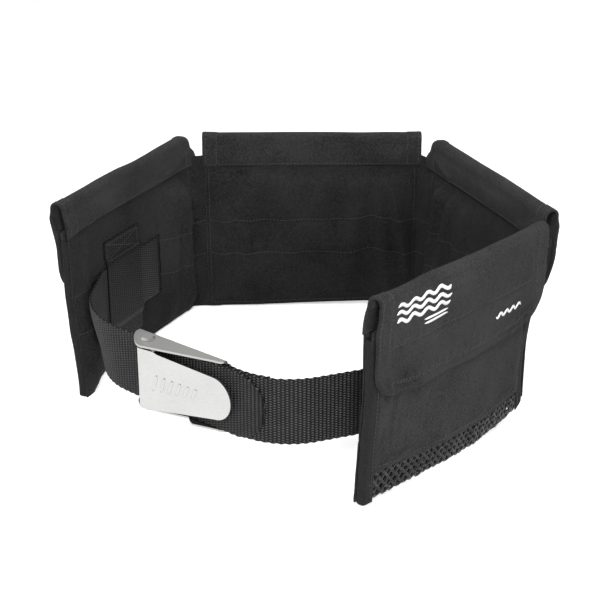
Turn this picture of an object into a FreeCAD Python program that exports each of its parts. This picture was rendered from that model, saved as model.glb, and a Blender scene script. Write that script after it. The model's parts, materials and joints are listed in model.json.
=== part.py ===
import FreeCAD, Part
import math
import os

# Dive weight belt, buckled into a ring and standing on the lower edges of its pockets.
# Millimetres, +Z up. The origin is the centre of the ring at floor level, +Y is the wearer's
# back and +X the wearer's right. Every pocket is drawn in its own frame: x runs along the
# pocket, y points outward from the wearer and z is up.

Vector = FreeCAD.Vector

# Pockets
POCKET_WIDTH = 186.0
POCKET_HEIGHT = 160.0
SHEET = 1.2            # one hemmed layer of pack cloth
CLEARANCE = 0.1        # between layers that are sewn together
CAVITY_DEPTH = 4.3     # between the inner and outer panels of an empty pocket
OUTER_PANEL_TOP = 136.0
MESH_HEIGHT = 24.0
BINDING_WIDTH = 12.0
BINDING_THICK = 1.0
INNER_PANEL_TOP = 150.0

# Flap: it folds over the pocket's mouth and hangs down the outside
FOLD_RADIUS = 5.0      # outside of the sewn fold
FLAP_SEAM_Z = 130.0
FLAP_BOTTOM_Z = 88.0
FLAP_CORNER = 18.0
FLAP_WRAP = 30.0       # degrees of the fold that lift with the flap
TAPE_THICK = 0.8
TAPE_HALF_LENGTH = 78.0
LOOP_TAPE_Z = (93.0, 121.0)
HOOK_TAPE_Z = (94.0, 120.0)

# Where each pocket stands: centre of its inner face, and its turn about Z in degrees
RING_SHIFT = Vector(10.7, -2.3, 0.0)
POCKETS = {
    "rear": (Vector(0.0, 170.0, 0.0), 0.0),
    "left": (Vector(-149.0, 86.5, 0.0), 62.5),
    "right": (Vector(136.0, 69.5, 0.0), -68.5),
    "front": (Vector(95.0, -102.5, 0.0), -134.9),
}
SEAM_CLEARANCE = 2.0

# Webbing: 50 mm wide, standing on edge
WEB_WIDTH = 50.0
WEB_THICK = 1.8
WEB_CENTRE_Z = 63.0
INSIDE_Y = SHEET + CLEARANCE + WEB_THICK / 2
FACE_Y = -(BINDING_THICK + 2 * CLEARANCE + WEB_THICK / 2)
STRAP_KINK = {"left": 46.0, "front": 11.0}   # from a pocket's middle to where its strap leaves it
KINK_TO_SLOT_OUT = 80.0
KINK_TO_SLOT_IN = 90.0
KINK_RADIUS = 12.0
SLOT_ROUND = 4.0
LEFT_EXIT_HEADING = 264.0
LEFT_TURN_RADIUS = 80.0
RUN_HEADING = 19.5     # of the fixed webbing, from the buckle to the front pocket
RUN_BEND_RADIUS = 55.0
TAIL_TIP_TURN = 23.0   # how far round the bend the free end reaches, in degrees
FOLD_BACK_TURN = 22.0
END_LENGTH = 2.0       # straight past that
TAIL_TIP_CORNER = 21.0
SPLIT_GAP = 1.2        # opening in the webbing at each of its two turns

STRAP_SIDE = {"left": 1, "front": -1}        # which way a pocket's strap runs inside it

# Keepers: a short upright length of webbing, sewn at both ends, that holds the strap
KINK_TO_KEEPER = 5.0
KEEPER_WIDTH = 49.0
KEEPER_Z = (16.0, 110.0)
KEEPER_SEWN = 21.0
KEEPER_THICK = 1.4

# Buckle: x runs along the webbing from the pivot end, y is towards the wearer
BUCKLE_START = Vector(-128.0, -69.0, 0.0)
BUCKLE_TURN = -39.6
BUCKLE_CENTRE_Z = 63.7
METAL = 1.5
FRAME_LENGTH = 82.0
FRAME_HALF_HEIGHT = 27.7
UPPER_EAR = [(-1.5, 0), (-0.8, 5.5), (5.5, 14.2), (14.0, 20.2), (17.4, 21.0), (21.0, 20.2),
             (76.0, 5.6), (80.6, 3.8), (82.0, 1.0), (82.0, 0)]
LOWER_EAR = [(-1.5, 0), (-0.5, 6.0), (5.0, 11.6), (12.0, 13.8), (15.6, 13.8), (19.0, 12.6),
             (48.0, 5.0), (80.6, 3.2), (82.0, 1.0), (82.0, 0)]
SLOT_X = (71.5, 75.0)
PIN_X = 14.4
PIN_OUT = 8.85
PIN_RADIUS = 1.6
UPPER_HEAD = (5.2, 1.6)   # radius and height of each rivet head
LOWER_HEAD = (4.2, 0.9)
KNUCKLE_RADIUS = 3.3
LEVER_HALF_HEIGHT = 24.2
LEVER_SHOULDER = 22.3
LEVER_TIP_HALF = 16.3
LEVER_TOP = 18.8
LEVER_FACE_OUT = 8.8   # of the tip, which lies parallel to the webbing
LEVER_BEND_X = 77.0
LEVER_LENGTH = 92.0
LEVER_EAR_END = 27.0
TAIL_OUT = 4.5         # centre of the tail, outward from the back of the frame
RUN_OUT = 2.5          # centre of the fixed webbing where it crosses the end bar
FOLD_BACK_OUT = 0.6    # centre of its folded-back end beyond the bar


def outer_panel_y():
    return SHEET + CAVITY_DEPTH


def box(x_span, y_span, z_span):
    size = [b - a for a, b in (x_span, y_span, z_span)]
    return Part.makeBox(size[0], size[1], size[2], Vector(x_span[0], y_span[0], z_span[0]))


def fuse(shapes):
    result = shapes[0]
    for shape in shapes[1:]:
        result = result.fuse(shape)
    return result.removeSplitter()


def heading(degrees):
    return Vector(math.cos(math.radians(degrees)), math.sin(math.radians(degrees)), 0)


def stand(shape, origin, turn):
    """Turns a shape drawn in a local frame about Z and moves it to its place in the ring."""
    shape.rotate(Vector(0, 0, 0), Vector(0, 0, 1), turn)
    shape.translate(origin + RING_SHIFT)
    return shape


def pocket_point(name, x, y):
    centre, turn = POCKETS[name]
    return centre + RING_SHIFT + heading(turn) * x + heading(turn + 90) * y


def buckle_point(x, out):
    return BUCKLE_START + RING_SHIFT + heading(BUCKLE_TURN) * x + heading(BUCKLE_TURN - 90) * out


def crossing(point_a, turn_a, point_b, turn_b):
    """The point where two plan lines meet."""
    a, b = heading(turn_a), heading(turn_b)
    gap = point_b - point_a
    reach = (gap.x * b.y - gap.y * b.x) / (a.x * b.y - a.y * b.x)
    return point_a + a * reach


def edges_near(shape, test):
    """The edges of a shape whose centres pass a test."""
    return [edge for edge in shape.Edges if test(edge.CenterOfMass)]


def rounded_corner(before, corner, after, radius):
    """Tangent points, middle and centre of the round that replaces a corner of a path."""
    back = (before - corner).normalize()
    ahead = (after - corner).normalize()
    half = back.getAngle(ahead) / 2
    centre = corner + (back + ahead).normalize() * (radius / math.sin(half))
    reach = radius / math.tan(half)
    middle = centre + (corner - centre).normalize() * radius
    return corner + back * reach, middle, corner + ahead * reach, centre


def band_side(points, radii, offset):
    """Edges of one side of a flat band that follows a rounded path at a distance."""
    def shifted(point, direction):
        return point + Vector(-direction.y, direction.x, 0) * offset

    edges = []
    start = shifted(points[0], (points[1] - points[0]).normalize())
    for index in range(1, len(points) - 1):
        first, middle, last, centre = rounded_corner(*points[index - 1:index + 2], radii[index - 1])
        before = (points[index] - points[index - 1]).normalize()
        after = (points[index + 1] - points[index]).normalize()
        turned_left = before.cross(after).z > 0
        scale = (radii[index - 1] + (-offset if turned_left else offset)) / radii[index - 1]
        arc = [centre + (point - centre) * scale for point in (first, middle, last)]
        edges.append(Part.LineSegment(start, arc[0]).toShape())
        edges.append(Part.Arc(*arc).toShape())
        start = arc[2]
    end = shifted(points[-1], (points[-1] - points[-2]).normalize())
    edges.append(Part.LineSegment(start, end).toShape())
    return edges


def band(points, radii, thickness, z_span):
    """A strip that stands on edge and follows a path of straights and rounded corners."""
    left = band_side(points, radii, thickness / 2)
    right = band_side(points, radii, -thickness / 2)
    start_cap = Part.LineSegment(left[0].Vertexes[0].Point, right[0].Vertexes[0].Point).toShape()
    end_cap = Part.LineSegment(left[-1].Vertexes[-1].Point, right[-1].Vertexes[-1].Point).toShape()
    outline = Part.Wire(Part.__sortEdges__(left + right + [start_cap, end_cap]))
    face = Part.Face(outline)
    face.translate(Vector(0, 0, z_span[0]))
    return face.extrude(Vector(0, 0, z_span[1] - z_span[0]))


# Pockets

def inner_panel(name):
    half = POCKET_WIDTH / 2 - BINDING_THICK - CLEARANCE
    panel = box((-half, half), (0, SHEET), (0, INNER_PANEL_TOP))
    if name in STRAP_SIDE:
        kink, side = STRAP_KINK[name], STRAP_SIDE[name]
        span = sorted((side * (KINK_TO_SLOT_OUT - kink + 2), side * (KINK_TO_SLOT_IN - kink + 0.5)))
        web_half = WEB_WIDTH / 2 + 0.5
        panel = panel.cut(box(span, (-1, SHEET + 1), (WEB_CENTRE_Z - web_half, WEB_CENTRE_Z + web_half)))
    return panel


def outer_panel():
    half = POCKET_WIDTH / 2 - BINDING_THICK - CLEARANCE
    y = outer_panel_y()
    return box((-half, half), (y, y + SHEET), (MESH_HEIGHT + CLEARANCE, OUTER_PANEL_TOP))


def drain_mesh():
    half = POCKET_WIDTH / 2 - BINDING_THICK - CLEARANCE
    y = outer_panel_y()
    front = box((-half, half), (y, y + SHEET), (0, MESH_HEIGHT))
    floor = box((-half, half), (SHEET + CLEARANCE, y + SHEET), (0, SHEET))
    return fuse([front, floor])


def side_bindings():
    """Two channels of tape folded over the pocket's side edges."""
    edge = POCKET_WIDTH / 2
    y_in = -BINDING_THICK - CLEARANCE
    y_out = outer_panel_y() + SHEET + CLEARANCE + BINDING_THICK
    height = (0, FLAP_SEAM_Z - CLEARANCE)
    channels = []
    for side in (-1, 1):
        leg = sorted((side * (edge - BINDING_WIDTH), side * edge))
        web = sorted((side * (edge - BINDING_THICK), side * edge))
        channels.append(fuse([
            box(leg, (y_in, y_in + BINDING_THICK), height),
            box(leg, (y_out - BINDING_THICK, y_out), height),
            box(web, (y_in, y_out), height),
        ]))
    return Part.Compound(channels)


def fold_axis():
    """The line that a flap turns about, as its y and z."""
    return -CLEARANCE - SHEET + FOLD_RADIUS, POCKET_HEIGHT - FOLD_RADIUS


def revolved_strip(y_span, degrees):
    """A strip of cloth wrapped over the fold, from its outer side towards the wearer."""
    half = POCKET_WIDTH / 2
    axis_y, axis_z = fold_axis()
    corners = [Vector(x, y, axis_z) for x, y in (
        (-half, y_span[0]), (half, y_span[0]), (half, y_span[1]), (-half, y_span[1]))]
    face = Part.Face(Part.makePolygon(corners + corners[:1]))
    return face.revolve(Vector(0, axis_y, axis_z), Vector(1, 0, 0), degrees)


def flap_root():
    """The sewn part of the flap: up the inner face and over the top."""
    half = POCKET_WIDTH / 2
    axis_y, axis_z = fold_axis()
    wrap = revolved_strip((axis_y + FOLD_RADIUS - SHEET, axis_y + FOLD_RADIUS), 180)
    leg = box((-half, half), (-CLEARANCE - SHEET, -CLEARANCE), (FLAP_SEAM_Z, axis_z))
    return fuse([leg, wrap])


def flap_y():
    axis_y = fold_axis()[0]
    return axis_y + FOLD_RADIUS + CLEARANCE


def flap():
    """The part of the flap that lifts."""
    half = POCKET_WIDTH / 2
    y_span = (flap_y(), flap_y() + SHEET)
    sheet = box((-half, half), y_span, (FLAP_BOTTOM_Z, fold_axis()[1]))
    corners = edges_near(sheet, lambda c: c.z < FLAP_BOTTOM_Z + 1 and abs(c.x) > half - 1 and
                         y_span[0] + 0.1 < c.y < y_span[1] - 0.1)
    sheet = sheet.makeFillet(FLAP_CORNER, corners)
    return fuse([sheet, revolved_strip(y_span, FLAP_WRAP)])


def loop_tape():
    y = outer_panel_y() + SHEET + CLEARANCE
    return box((-TAPE_HALF_LENGTH, TAPE_HALF_LENGTH), (y, y + TAPE_THICK), LOOP_TAPE_Z)


def hook_tape():
    y = flap_y() - CLEARANCE
    return box((-TAPE_HALF_LENGTH, TAPE_HALF_LENGTH), (y - TAPE_THICK, y), HOOK_TAPE_Z)


def core_webbing():
    """The belt's webbing, sewn to the outside of the inner panel within a pocket."""
    half = POCKET_WIDTH / 2 - BINDING_THICK - 2 * CLEARANCE
    y = SHEET + CLEARANCE
    return box((-half, half), (y, y + WEB_THICK), web_span())


def keeper(name):
    near = KINK_TO_KEEPER - STRAP_KINK[name]
    span = sorted((STRAP_SIDE[name] * near, STRAP_SIDE[name] * (near + KEEPER_WIDTH)))
    y_over = FACE_Y - WEB_THICK / 2 - 3 * CLEARANCE
    plate = box(span, (y_over - KEEPER_THICK, y_over), KEEPER_Z)
    feet = [box(span, (y_over - KEEPER_THICK, -CLEARANCE), z_span) for z_span in (
        (KEEPER_Z[0], KEEPER_Z[0] + KEEPER_SEWN), (KEEPER_Z[1] - KEEPER_SEWN, KEEPER_Z[1]))]
    return fuse([plate] + feet)


def seam_ends(first, second):
    """The two pocket edges that a seam strip joins, going clockwise seen from above."""
    half = POCKET_WIDTH / 2
    return pocket_point(first, half, 0), pocket_point(second, -half, 0)


def seam_strip(first, second):
    """The narrow strip of cloth between two pockets, where the belt folds."""
    start, end = seam_ends(first, second)
    gap = end - start
    middle = (start + end) * 0.5
    half = gap.Length / 2 - SEAM_CLEARANCE
    strip = box((-half, half), (-SHEET / 2, SHEET / 2), (0, FLAP_SEAM_Z))
    return stand(strip, middle - RING_SHIFT, math.degrees(math.atan2(gap.y, gap.x)))


# Webbing

def web_span():
    return WEB_CENTRE_Z - WEB_WIDTH / 2, WEB_CENTRE_Z + WEB_WIDTH / 2


def strap_on_pocket(name):
    """Path of a strap inside its pocket, through the slot and along the inner face."""
    side = STRAP_SIDE[name]
    inside_end = POCKET_WIDTH / 2 - BINDING_THICK - 2 * CLEARANCE
    slot_in = KINK_TO_SLOT_IN - STRAP_KINK[name]
    slot_out = KINK_TO_SLOT_OUT - STRAP_KINK[name]
    return [pocket_point(name, side * inside_end, INSIDE_Y), pocket_point(name, side * slot_in, INSIDE_Y),
            pocket_point(name, side * slot_out, FACE_Y), kink_point(name)]


def kink_point(name):
    """Where a strap leaves the face of its pocket."""
    return pocket_point(name, -STRAP_SIDE[name] * STRAP_KINK[name], FACE_Y)


def left_turn():
    return crossing(kink_point("left"), LEFT_EXIT_HEADING, buckle_point(0, TAIL_OUT), BUCKLE_TURN)


def run_bend():
    """Corner between the buckle's line and the straight run."""
    return crossing(buckle_point(0, RUN_OUT), BUCKLE_TURN, kink_point("front"), RUN_HEADING)


def ending_round_bend(out, turn):
    """Corner and end point of a layer of webbing that stops part of the way round the bend."""
    full_reach = RUN_BEND_RADIUS * math.tan(math.radians(RUN_HEADING - BUCKLE_TURN) / 2)
    start = run_bend().distanceToPoint(buckle_point(0, RUN_OUT)) - full_reach
    reach = (RUN_BEND_RADIUS + out - RUN_OUT) * math.tan(math.radians(turn) / 2)
    corner = buckle_point(start + reach, out)
    return corner, corner + heading(BUCKLE_TURN + turn) * (reach + END_LENGTH)


def tail_strap():
    """The free end: from the left pocket round to the buckle, through it and past it."""
    corner, tip = ending_round_bend(TAIL_OUT, TAIL_TIP_TURN)
    points = strap_on_pocket("left") + [left_turn(), corner, tip]
    bend = RUN_BEND_RADIUS + TAIL_OUT - RUN_OUT
    radii = [SLOT_ROUND, SLOT_ROUND, KINK_RADIUS, LEFT_TURN_RADIUS, bend]
    strap = band(points, radii, WEB_THICK, web_span())
    reach = 2 * max(tip.Length, POCKET_WIDTH)
    rounded = box((-reach, 0), (-reach, reach), web_span())
    ends = edges_near(rounded, lambda c: abs(c.x) < 0.01 and abs(c.z - WEB_CENTRE_Z) > 1)
    rounded = rounded.makeFillet(TAIL_TIP_CORNER, ends)
    return strap.common(stand(rounded, tip - RING_SHIFT, BUCKLE_TURN + TAIL_TIP_TURN))


def fixed_strap():
    """The sewn end: from the front pocket to the buckle, round its end bar and back."""
    fold_corner, fold_end = ending_round_bend(FOLD_BACK_OUT, FOLD_BACK_TURN)
    bar_centre = METAL / 2
    turn_radius = RUN_OUT - bar_centre
    turn_x = SLOT_X[1] - turn_radius
    back_out = bar_centre - turn_radius
    points = [
        fold_end, fold_corner,
        buckle_point(FRAME_LENGTH + 6.5, FOLD_BACK_OUT), buckle_point(FRAME_LENGTH + 0.5, back_out),
        buckle_point(turn_x, back_out), buckle_point(turn_x, RUN_OUT), run_bend(),
    ]
    points += reversed(strap_on_pocket("front"))
    fold_bend = RUN_BEND_RADIUS + FOLD_BACK_OUT - RUN_OUT
    tight = turn_radius - 0.01
    radii = [fold_bend, 3, 3, tight, tight, RUN_BEND_RADIUS, KINK_RADIUS, SLOT_ROUND, SLOT_ROUND]
    return band(points, radii, WEB_THICK, web_span())


def hinge_points():
    """Plan points that the belt folds about: three seams and the webbing's two turns."""
    def seam(first, second):
        start, end = seam_ends(first, second)
        return (start + end) * 0.5

    def turn(before, corner, after, radius):
        return rounded_corner(before, corner, after, radius)[1]

    tail_corner = ending_round_bend(TAIL_OUT, TAIL_TIP_TURN)[0]
    strap_turn = turn(kink_point("left"), left_turn(), tail_corner, LEFT_TURN_RADIUS)
    run_turn = turn(run_bend(), kink_point("front"), pocket_point("front", 0, FACE_Y), KINK_RADIUS)
    return {"rear_left": seam("left", "rear"), "rear_right": seam("rear", "right"),
            "right_front": seam("right", "front"), "strap_turn": strap_turn, "run_turn": run_turn}


def split(strap, point, along, sorter):
    """Opens a strap at a hinge point and returns its two lengths in a stated order."""
    gap = box((-SPLIT_GAP / 2, SPLIT_GAP / 2), (-8, 8), (0, POCKET_HEIGHT))
    gap = stand(gap, point - RING_SHIFT, along)
    return sorted(strap.cut(gap).Solids, key=sorter)


# Buckle

def ear_outline(corners):
    """Side view of one ear: a round lobe at the pivot, then a long taper to the end bar."""
    p = [Vector(x, -out, 0) for x, out in corners]
    edges = [
        Part.LineSegment(p[0], p[1]).toShape(), Part.Arc(p[1], p[2], p[3]).toShape(),
        Part.Arc(p[3], p[4], p[5]).toShape(), Part.LineSegment(p[5], p[6]).toShape(),
        Part.Arc(p[6], p[7], p[8]).toShape(), Part.LineSegment(p[8], p[9]).toShape(),
        Part.LineSegment(p[9], p[0]).toShape(),
    ]
    return Part.Face(Part.Wire(edges))


def buckle_frame():
    """A channel of sheet steel: the upper ear covers the lever's side, the lower one is low."""
    outside = FRAME_HALF_HEIGHT
    inside = outside - METAL
    full = Vector(0, 0, 2 * outside)
    body = ear_outline(UPPER_EAR)
    body.translate(Vector(0, 0, -outside))
    body = body.extrude(full)
    long_edges = edges_near(body, lambda c: abs(c.y) < 0.01 and abs(abs(c.z) - outside) < 0.01)
    body = body.makeFillet(METAL * 0.9, long_edges)
    low = ear_outline(LOWER_EAR)
    low.translate(Vector(0, 0, -outside))
    spare = box((-9, FRAME_LENGTH + 5), (-40, 1), (-outside - 1, -inside + 0.2))
    body = body.cut(spare.cut(low.extrude(full)))
    body = body.cut(box((-9, FRAME_LENGTH + 5), (-40, -METAL), (-inside, inside)))
    slot_half = WEB_WIDTH / 2 + 0.4
    slot_middle = WEB_CENTRE_Z - BUCKLE_CENTRE_Z
    slot = box(SLOT_X, (-METAL - 1, 1), (slot_middle - slot_half, slot_middle + slot_half))
    slot = slot.makeFillet(1.5, edges_near(slot, lambda c: abs(abs(c.z - slot_middle) - slot_half) < 0.01
                                           and c.x in SLOT_X))
    hole = Part.makeCylinder(PIN_RADIUS + 0.02, 80, Vector(PIN_X, -PIN_OUT, -40))
    return body.cut(slot).cut(hole)


def lever_face_outline():
    """Front view of the lever: full height at its ears, tapering to a round tip."""
    upper = [Vector(0, 0, LEVER_HALF_HEIGHT), Vector(LEVER_EAR_END, 0, LEVER_HALF_HEIGHT - 0.6),
             Vector(LEVER_EAR_END + 3, 0, LEVER_SHOULDER), Vector(LEVER_BEND_X, 0, LEVER_TIP_HALF)]
    lower = [Vector(p.x, 0, -p.z) for p in reversed(upper)]
    edges = [Part.LineSegment(a, b).toShape() for a, b in zip(upper, upper[1:])]
    edges.append(Part.Arc(upper[-1], Vector(LEVER_LENGTH, 0, 0), lower[0]).toShape())
    edges += [Part.LineSegment(a, b).toShape() for a, b in zip(lower, lower[1:])]
    edges.append(Part.LineSegment(lower[-1], upper[0]).toShape())
    face = Part.Face(Part.Wire(edges))
    face.translate(Vector(0, -40, 0))
    return face.extrude(Vector(0, 45, 0))


def buckle_lever():
    """One stamping: a face with a bent heel, two ears on the pin and a knuckle that grips."""
    wall_x = PIN_X - KNUCKLE_RADIUS + METAL / 2
    path = [Vector(wall_x, -PIN_OUT, 0), Vector(wall_x, -LEVER_TOP, 0),
            Vector(LEVER_BEND_X, -LEVER_FACE_OUT, 0), Vector(LEVER_LENGTH + 1, -LEVER_FACE_OUT, 0)]
    half = LEVER_HALF_HEIGHT
    sheet = band(path, [3, 25], METAL, (-half, half)).common(lever_face_outline())
    knuckle = Part.makeCylinder(KNUCKLE_RADIUS, 2 * (half - METAL), Vector(PIN_X, -PIN_OUT, METAL - half))
    ear_points = [Vector(x, -y, 0) for x, y in (
        (PIN_X - KNUCKLE_RADIUS, PIN_OUT), (PIN_X - KNUCKLE_RADIUS, LEVER_TOP - 3),
        (LEVER_EAR_END, LEVER_TOP - 3), (LEVER_EAR_END, PIN_OUT + 1), (PIN_X + 2, PIN_OUT - 2.6))]
    ears = []
    for z in (-half, half - METAL):
        ear = Part.Face(Part.makePolygon(ear_points + ear_points[:1])).extrude(Vector(0, 0, METAL))
        round_end = Part.makeCylinder(KNUCKLE_RADIUS, METAL, Vector(PIN_X, -PIN_OUT, 0))
        ear = ear.fuse(round_end)
        ear.translate(Vector(0, 0, z))
        ears.append(ear)
    hole = Part.makeCylinder(PIN_RADIUS + 0.06, 80, Vector(PIN_X, -PIN_OUT, -40))
    return fuse([sheet, knuckle] + ears).cut(hole)


def buckle_pin():
    """A riveted pin: its heads sit outside the frame's ears, the wider one on top."""
    face = FRAME_HALF_HEIGHT + 0.05
    pin = [Part.makeCylinder(PIN_RADIUS, 2 * face, Vector(PIN_X, -PIN_OUT, -face))]
    for side, (radius, height) in ((1, UPPER_HEAD), (-1, LOWER_HEAD)):
        pin.append(Part.makeCone(radius, radius - height * 0.8, height,
                                 Vector(PIN_X, -PIN_OUT, side * face), Vector(0, 0, side)))
    return fuse(pin)


# Assembly

def build_pocket(name):
    centre, turn = POCKETS[name]
    pieces = {
        "inner_panel": inner_panel(name), "outer_panel": outer_panel(), "drain_mesh": drain_mesh(),
        "side_bindings": side_bindings(), "flap_root": flap_root(), "flap": flap(),
        "loop_tape": loop_tape(), "hook_tape": hook_tape(),
    }
    if name in STRAP_SIDE:
        pieces["keeper"] = keeper(name)
    else:
        pieces["core_webbing"] = core_webbing()
    return {name + "_" + piece: stand(shape, centre, turn) for piece, shape in pieces.items()}


def build_webbing():
    hinges = hinge_points()
    tail_end = run_bend()
    fixed_end = pocket_point("front", 0, 0)
    middle_heading = (LEFT_EXIT_HEADING + 360 + BUCKLE_TURN) / 2
    tail, left_root = split(tail_strap(), hinges["strap_turn"], middle_heading,
                            lambda solid: solid.CenterOfMass.distanceToPoint(tail_end))
    kink_heading = (POCKETS["front"][1] + 180 + RUN_HEADING) / 2
    front_root, run = split(fixed_strap(), hinges["run_turn"], kink_heading,
                            lambda solid: solid.CenterOfMass.distanceToPoint(fixed_end))
    return {"strap_left_root": left_root, "strap_tail": tail,
            "strap_front_root": front_root, "strap_run": run}


def build_buckle():
    pieces = {"buckle_frame": buckle_frame(), "buckle_lever": buckle_lever(), "buckle_pin": buckle_pin()}
    lift = Vector(0, 0, BUCKLE_CENTRE_Z)
    return {name: stand(shape, BUCKLE_START + lift, BUCKLE_TURN) for name, shape in pieces.items()}


def build():
    parts = {}
    for name in POCKETS:
        parts.update(build_pocket(name))
    for first, second in (("left", "rear"), ("rear", "right"), ("right", "front")):
        parts["seam_" + first + "_" + second] = seam_strip(first, second)
    parts.update(build_webbing())
    parts.update(build_buckle())
    return parts


os.makedirs("parts", exist_ok=True)
for node, shape in build().items():
    shape.exportStep(os.path.join("parts", node + ".step"))
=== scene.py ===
import json
import math

import bpy
import numpy as np
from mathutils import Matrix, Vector


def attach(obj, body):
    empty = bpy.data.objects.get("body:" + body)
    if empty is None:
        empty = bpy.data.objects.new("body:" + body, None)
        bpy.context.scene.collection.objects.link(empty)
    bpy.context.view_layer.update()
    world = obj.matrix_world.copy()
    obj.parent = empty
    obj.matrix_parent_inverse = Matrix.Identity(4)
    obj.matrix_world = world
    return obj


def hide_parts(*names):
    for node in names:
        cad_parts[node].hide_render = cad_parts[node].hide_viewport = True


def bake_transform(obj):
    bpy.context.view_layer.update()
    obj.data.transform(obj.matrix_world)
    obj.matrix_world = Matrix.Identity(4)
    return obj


# Dive weight belt: cloth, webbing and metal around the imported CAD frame.
# Lengths are in millimetres until make_mesh, which writes metres; lamps and camera are placed in
# metres. Each pocket is drawn in its own frame: x runs along the pocket, y points outward from the
# wearer and z is up.

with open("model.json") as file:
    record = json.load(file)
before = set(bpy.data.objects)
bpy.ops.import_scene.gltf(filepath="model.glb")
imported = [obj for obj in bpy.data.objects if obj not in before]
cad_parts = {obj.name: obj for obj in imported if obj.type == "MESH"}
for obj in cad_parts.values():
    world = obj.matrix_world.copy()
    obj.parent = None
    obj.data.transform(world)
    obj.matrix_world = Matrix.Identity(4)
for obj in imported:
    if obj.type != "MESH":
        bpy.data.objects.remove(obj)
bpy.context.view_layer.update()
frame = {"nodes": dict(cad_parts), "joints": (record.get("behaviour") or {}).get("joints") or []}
MM = 0.001
JOINTS = {joint["name"]: joint for joint in frame["joints"]}
POCKETS = ("rear", "left", "right", "front")
STRAPPED = {"left": 1, "front": -1}      # which way a pocket's strap runs inside it
STRAP_SLOT = {"left": (36.6, 43.6), "front": (-78.6, -71.6)}

HALF = 93.0
PANEL_HALF = 91.9
TOP = 160.0
FOLD_Y, FOLD_Z = 3.7, 155.0
FLAP_SEAM_Z = 130.0
HEM_Z = 133.0            # lower edge of the flap's sewn leg
FLAP_BOTTOM = 88.0
OUTER_TOP = 136.0
NET_TOP = 24.0
WEB_LOW, WEB_HIGH = 38.0, 88.0
WEB_MID = 63.0
WEB_HALF = 25.0
WEB_THICK = 1.8


# Small numeric helpers

LATTICE = 64       # points a side in the lattice that noise is drawn from


def unit(v):
    """Vectors scaled to length one along their last axis."""
    return v / np.maximum(np.linalg.norm(v, axis=-1, keepdims=True), 1e-9)


def run_along(points):
    """Distance along a line of points, from 0."""
    return np.concatenate([[0], np.cumsum(np.linalg.norm(np.diff(points, axis=0), axis=1))])


def smooth(t):
    t = np.clip(t, 0.0, 1.0)
    return t * t * (3 - 2 * t)


def bell(x, centre, width):
    return np.exp(-((x - centre) / width) ** 2)


def soft_noise(u, v, size, seed):
    """Smooth random heights between -1 and 1 with features of a given size."""
    lattice = np.random.RandomState(seed).uniform(-1, 1, (LATTICE, LATTICE))
    a, b = np.asarray(u) / size + 31.37, np.asarray(v) / size + 17.71
    i, j = np.floor(a).astype(int), np.floor(b).astype(int)
    s, t = smooth(a - i), smooth(b - j)

    def corner(di, dj):
        return lattice[(i + di) % LATTICE, (j + dj) % LATTICE]

    low = corner(0, 0) * (1 - s) + corner(1, 0) * s
    high = corner(0, 1) * (1 - s) + corner(1, 1) * s
    return low * (1 - t) + high * t


def folds(u, v, size, seed):
    return soft_noise(u, v, size, seed) + 0.5 * soft_noise(u, v, size / 2.1, seed + 1)


# Frames of reference

def heading(degrees):
    return np.array([math.cos(math.radians(degrees)), math.sin(math.radians(degrees)), 0.0])


class Place:
    """A local frame turned about Z."""

    def __init__(self, origin, x_axis):
        self.origin = np.array(origin, float)
        self.x = unit(np.array(x_axis, float))
        self.y = np.array([-self.x[1], self.x[0], 0.0])

    def world(self, p):
        p = np.asarray(p, float)
        plan = self.origin + p[..., :1] * self.x + p[..., 1:2] * self.y
        plan[..., 2] += p[..., 2]
        return plan

    def local(self, p):
        d = np.asarray(p, float) - self.origin
        return np.stack([d @ self.x, d @ self.y, d[..., 2]], axis=-1)

    def point(self, x, y, z=0.0):
        return self.world(np.array([x, y, z], float))


def pocket_place(name):
    lift = JOINTS[name + "_flap_lift"]
    place = Place(np.array(lift["pos_m"]) / MM, lift["axis"])
    origin = place.origin - place.y * FOLD_Y
    origin[2] = 0.0
    return Place(origin, lift["axis"])


PLACE = {name: pocket_place(name) for name in POCKETS}


# Meshes

def make_mesh(name, points, faces, material, uv=None):
    mesh = bpy.data.meshes.new(name)
    mesh.from_pydata((np.asarray(points) * MM).tolist(), [], faces)
    if uv is not None:
        layer = mesh.uv_layers.new(name="UVMap")
        loops = np.zeros(len(mesh.loops), np.int32)
        mesh.loops.foreach_get("vertex_index", loops)
        layer.data.foreach_set("uv", (np.asarray(uv)[loops] * MM).astype(np.float32).ravel())
    mesh.polygons.foreach_set("use_smooth", np.ones(len(mesh.polygons), bool))
    mesh.materials.append(material)
    mesh.validate()
    mesh.update()
    obj = bpy.data.objects.new(name, mesh)
    bpy.context.scene.collection.objects.link(obj)
    return obj


def grid_normals(mid):
    return unit(np.cross(np.gradient(mid, axis=0), np.gradient(mid, axis=1)))


def grid_quads(nu, nv):
    index = np.arange(nu * nv).reshape(nu, nv)
    return np.stack([index[:-1, :-1], index[1:, :-1], index[1:, 1:], index[:-1, 1:]], axis=-1)


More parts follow.
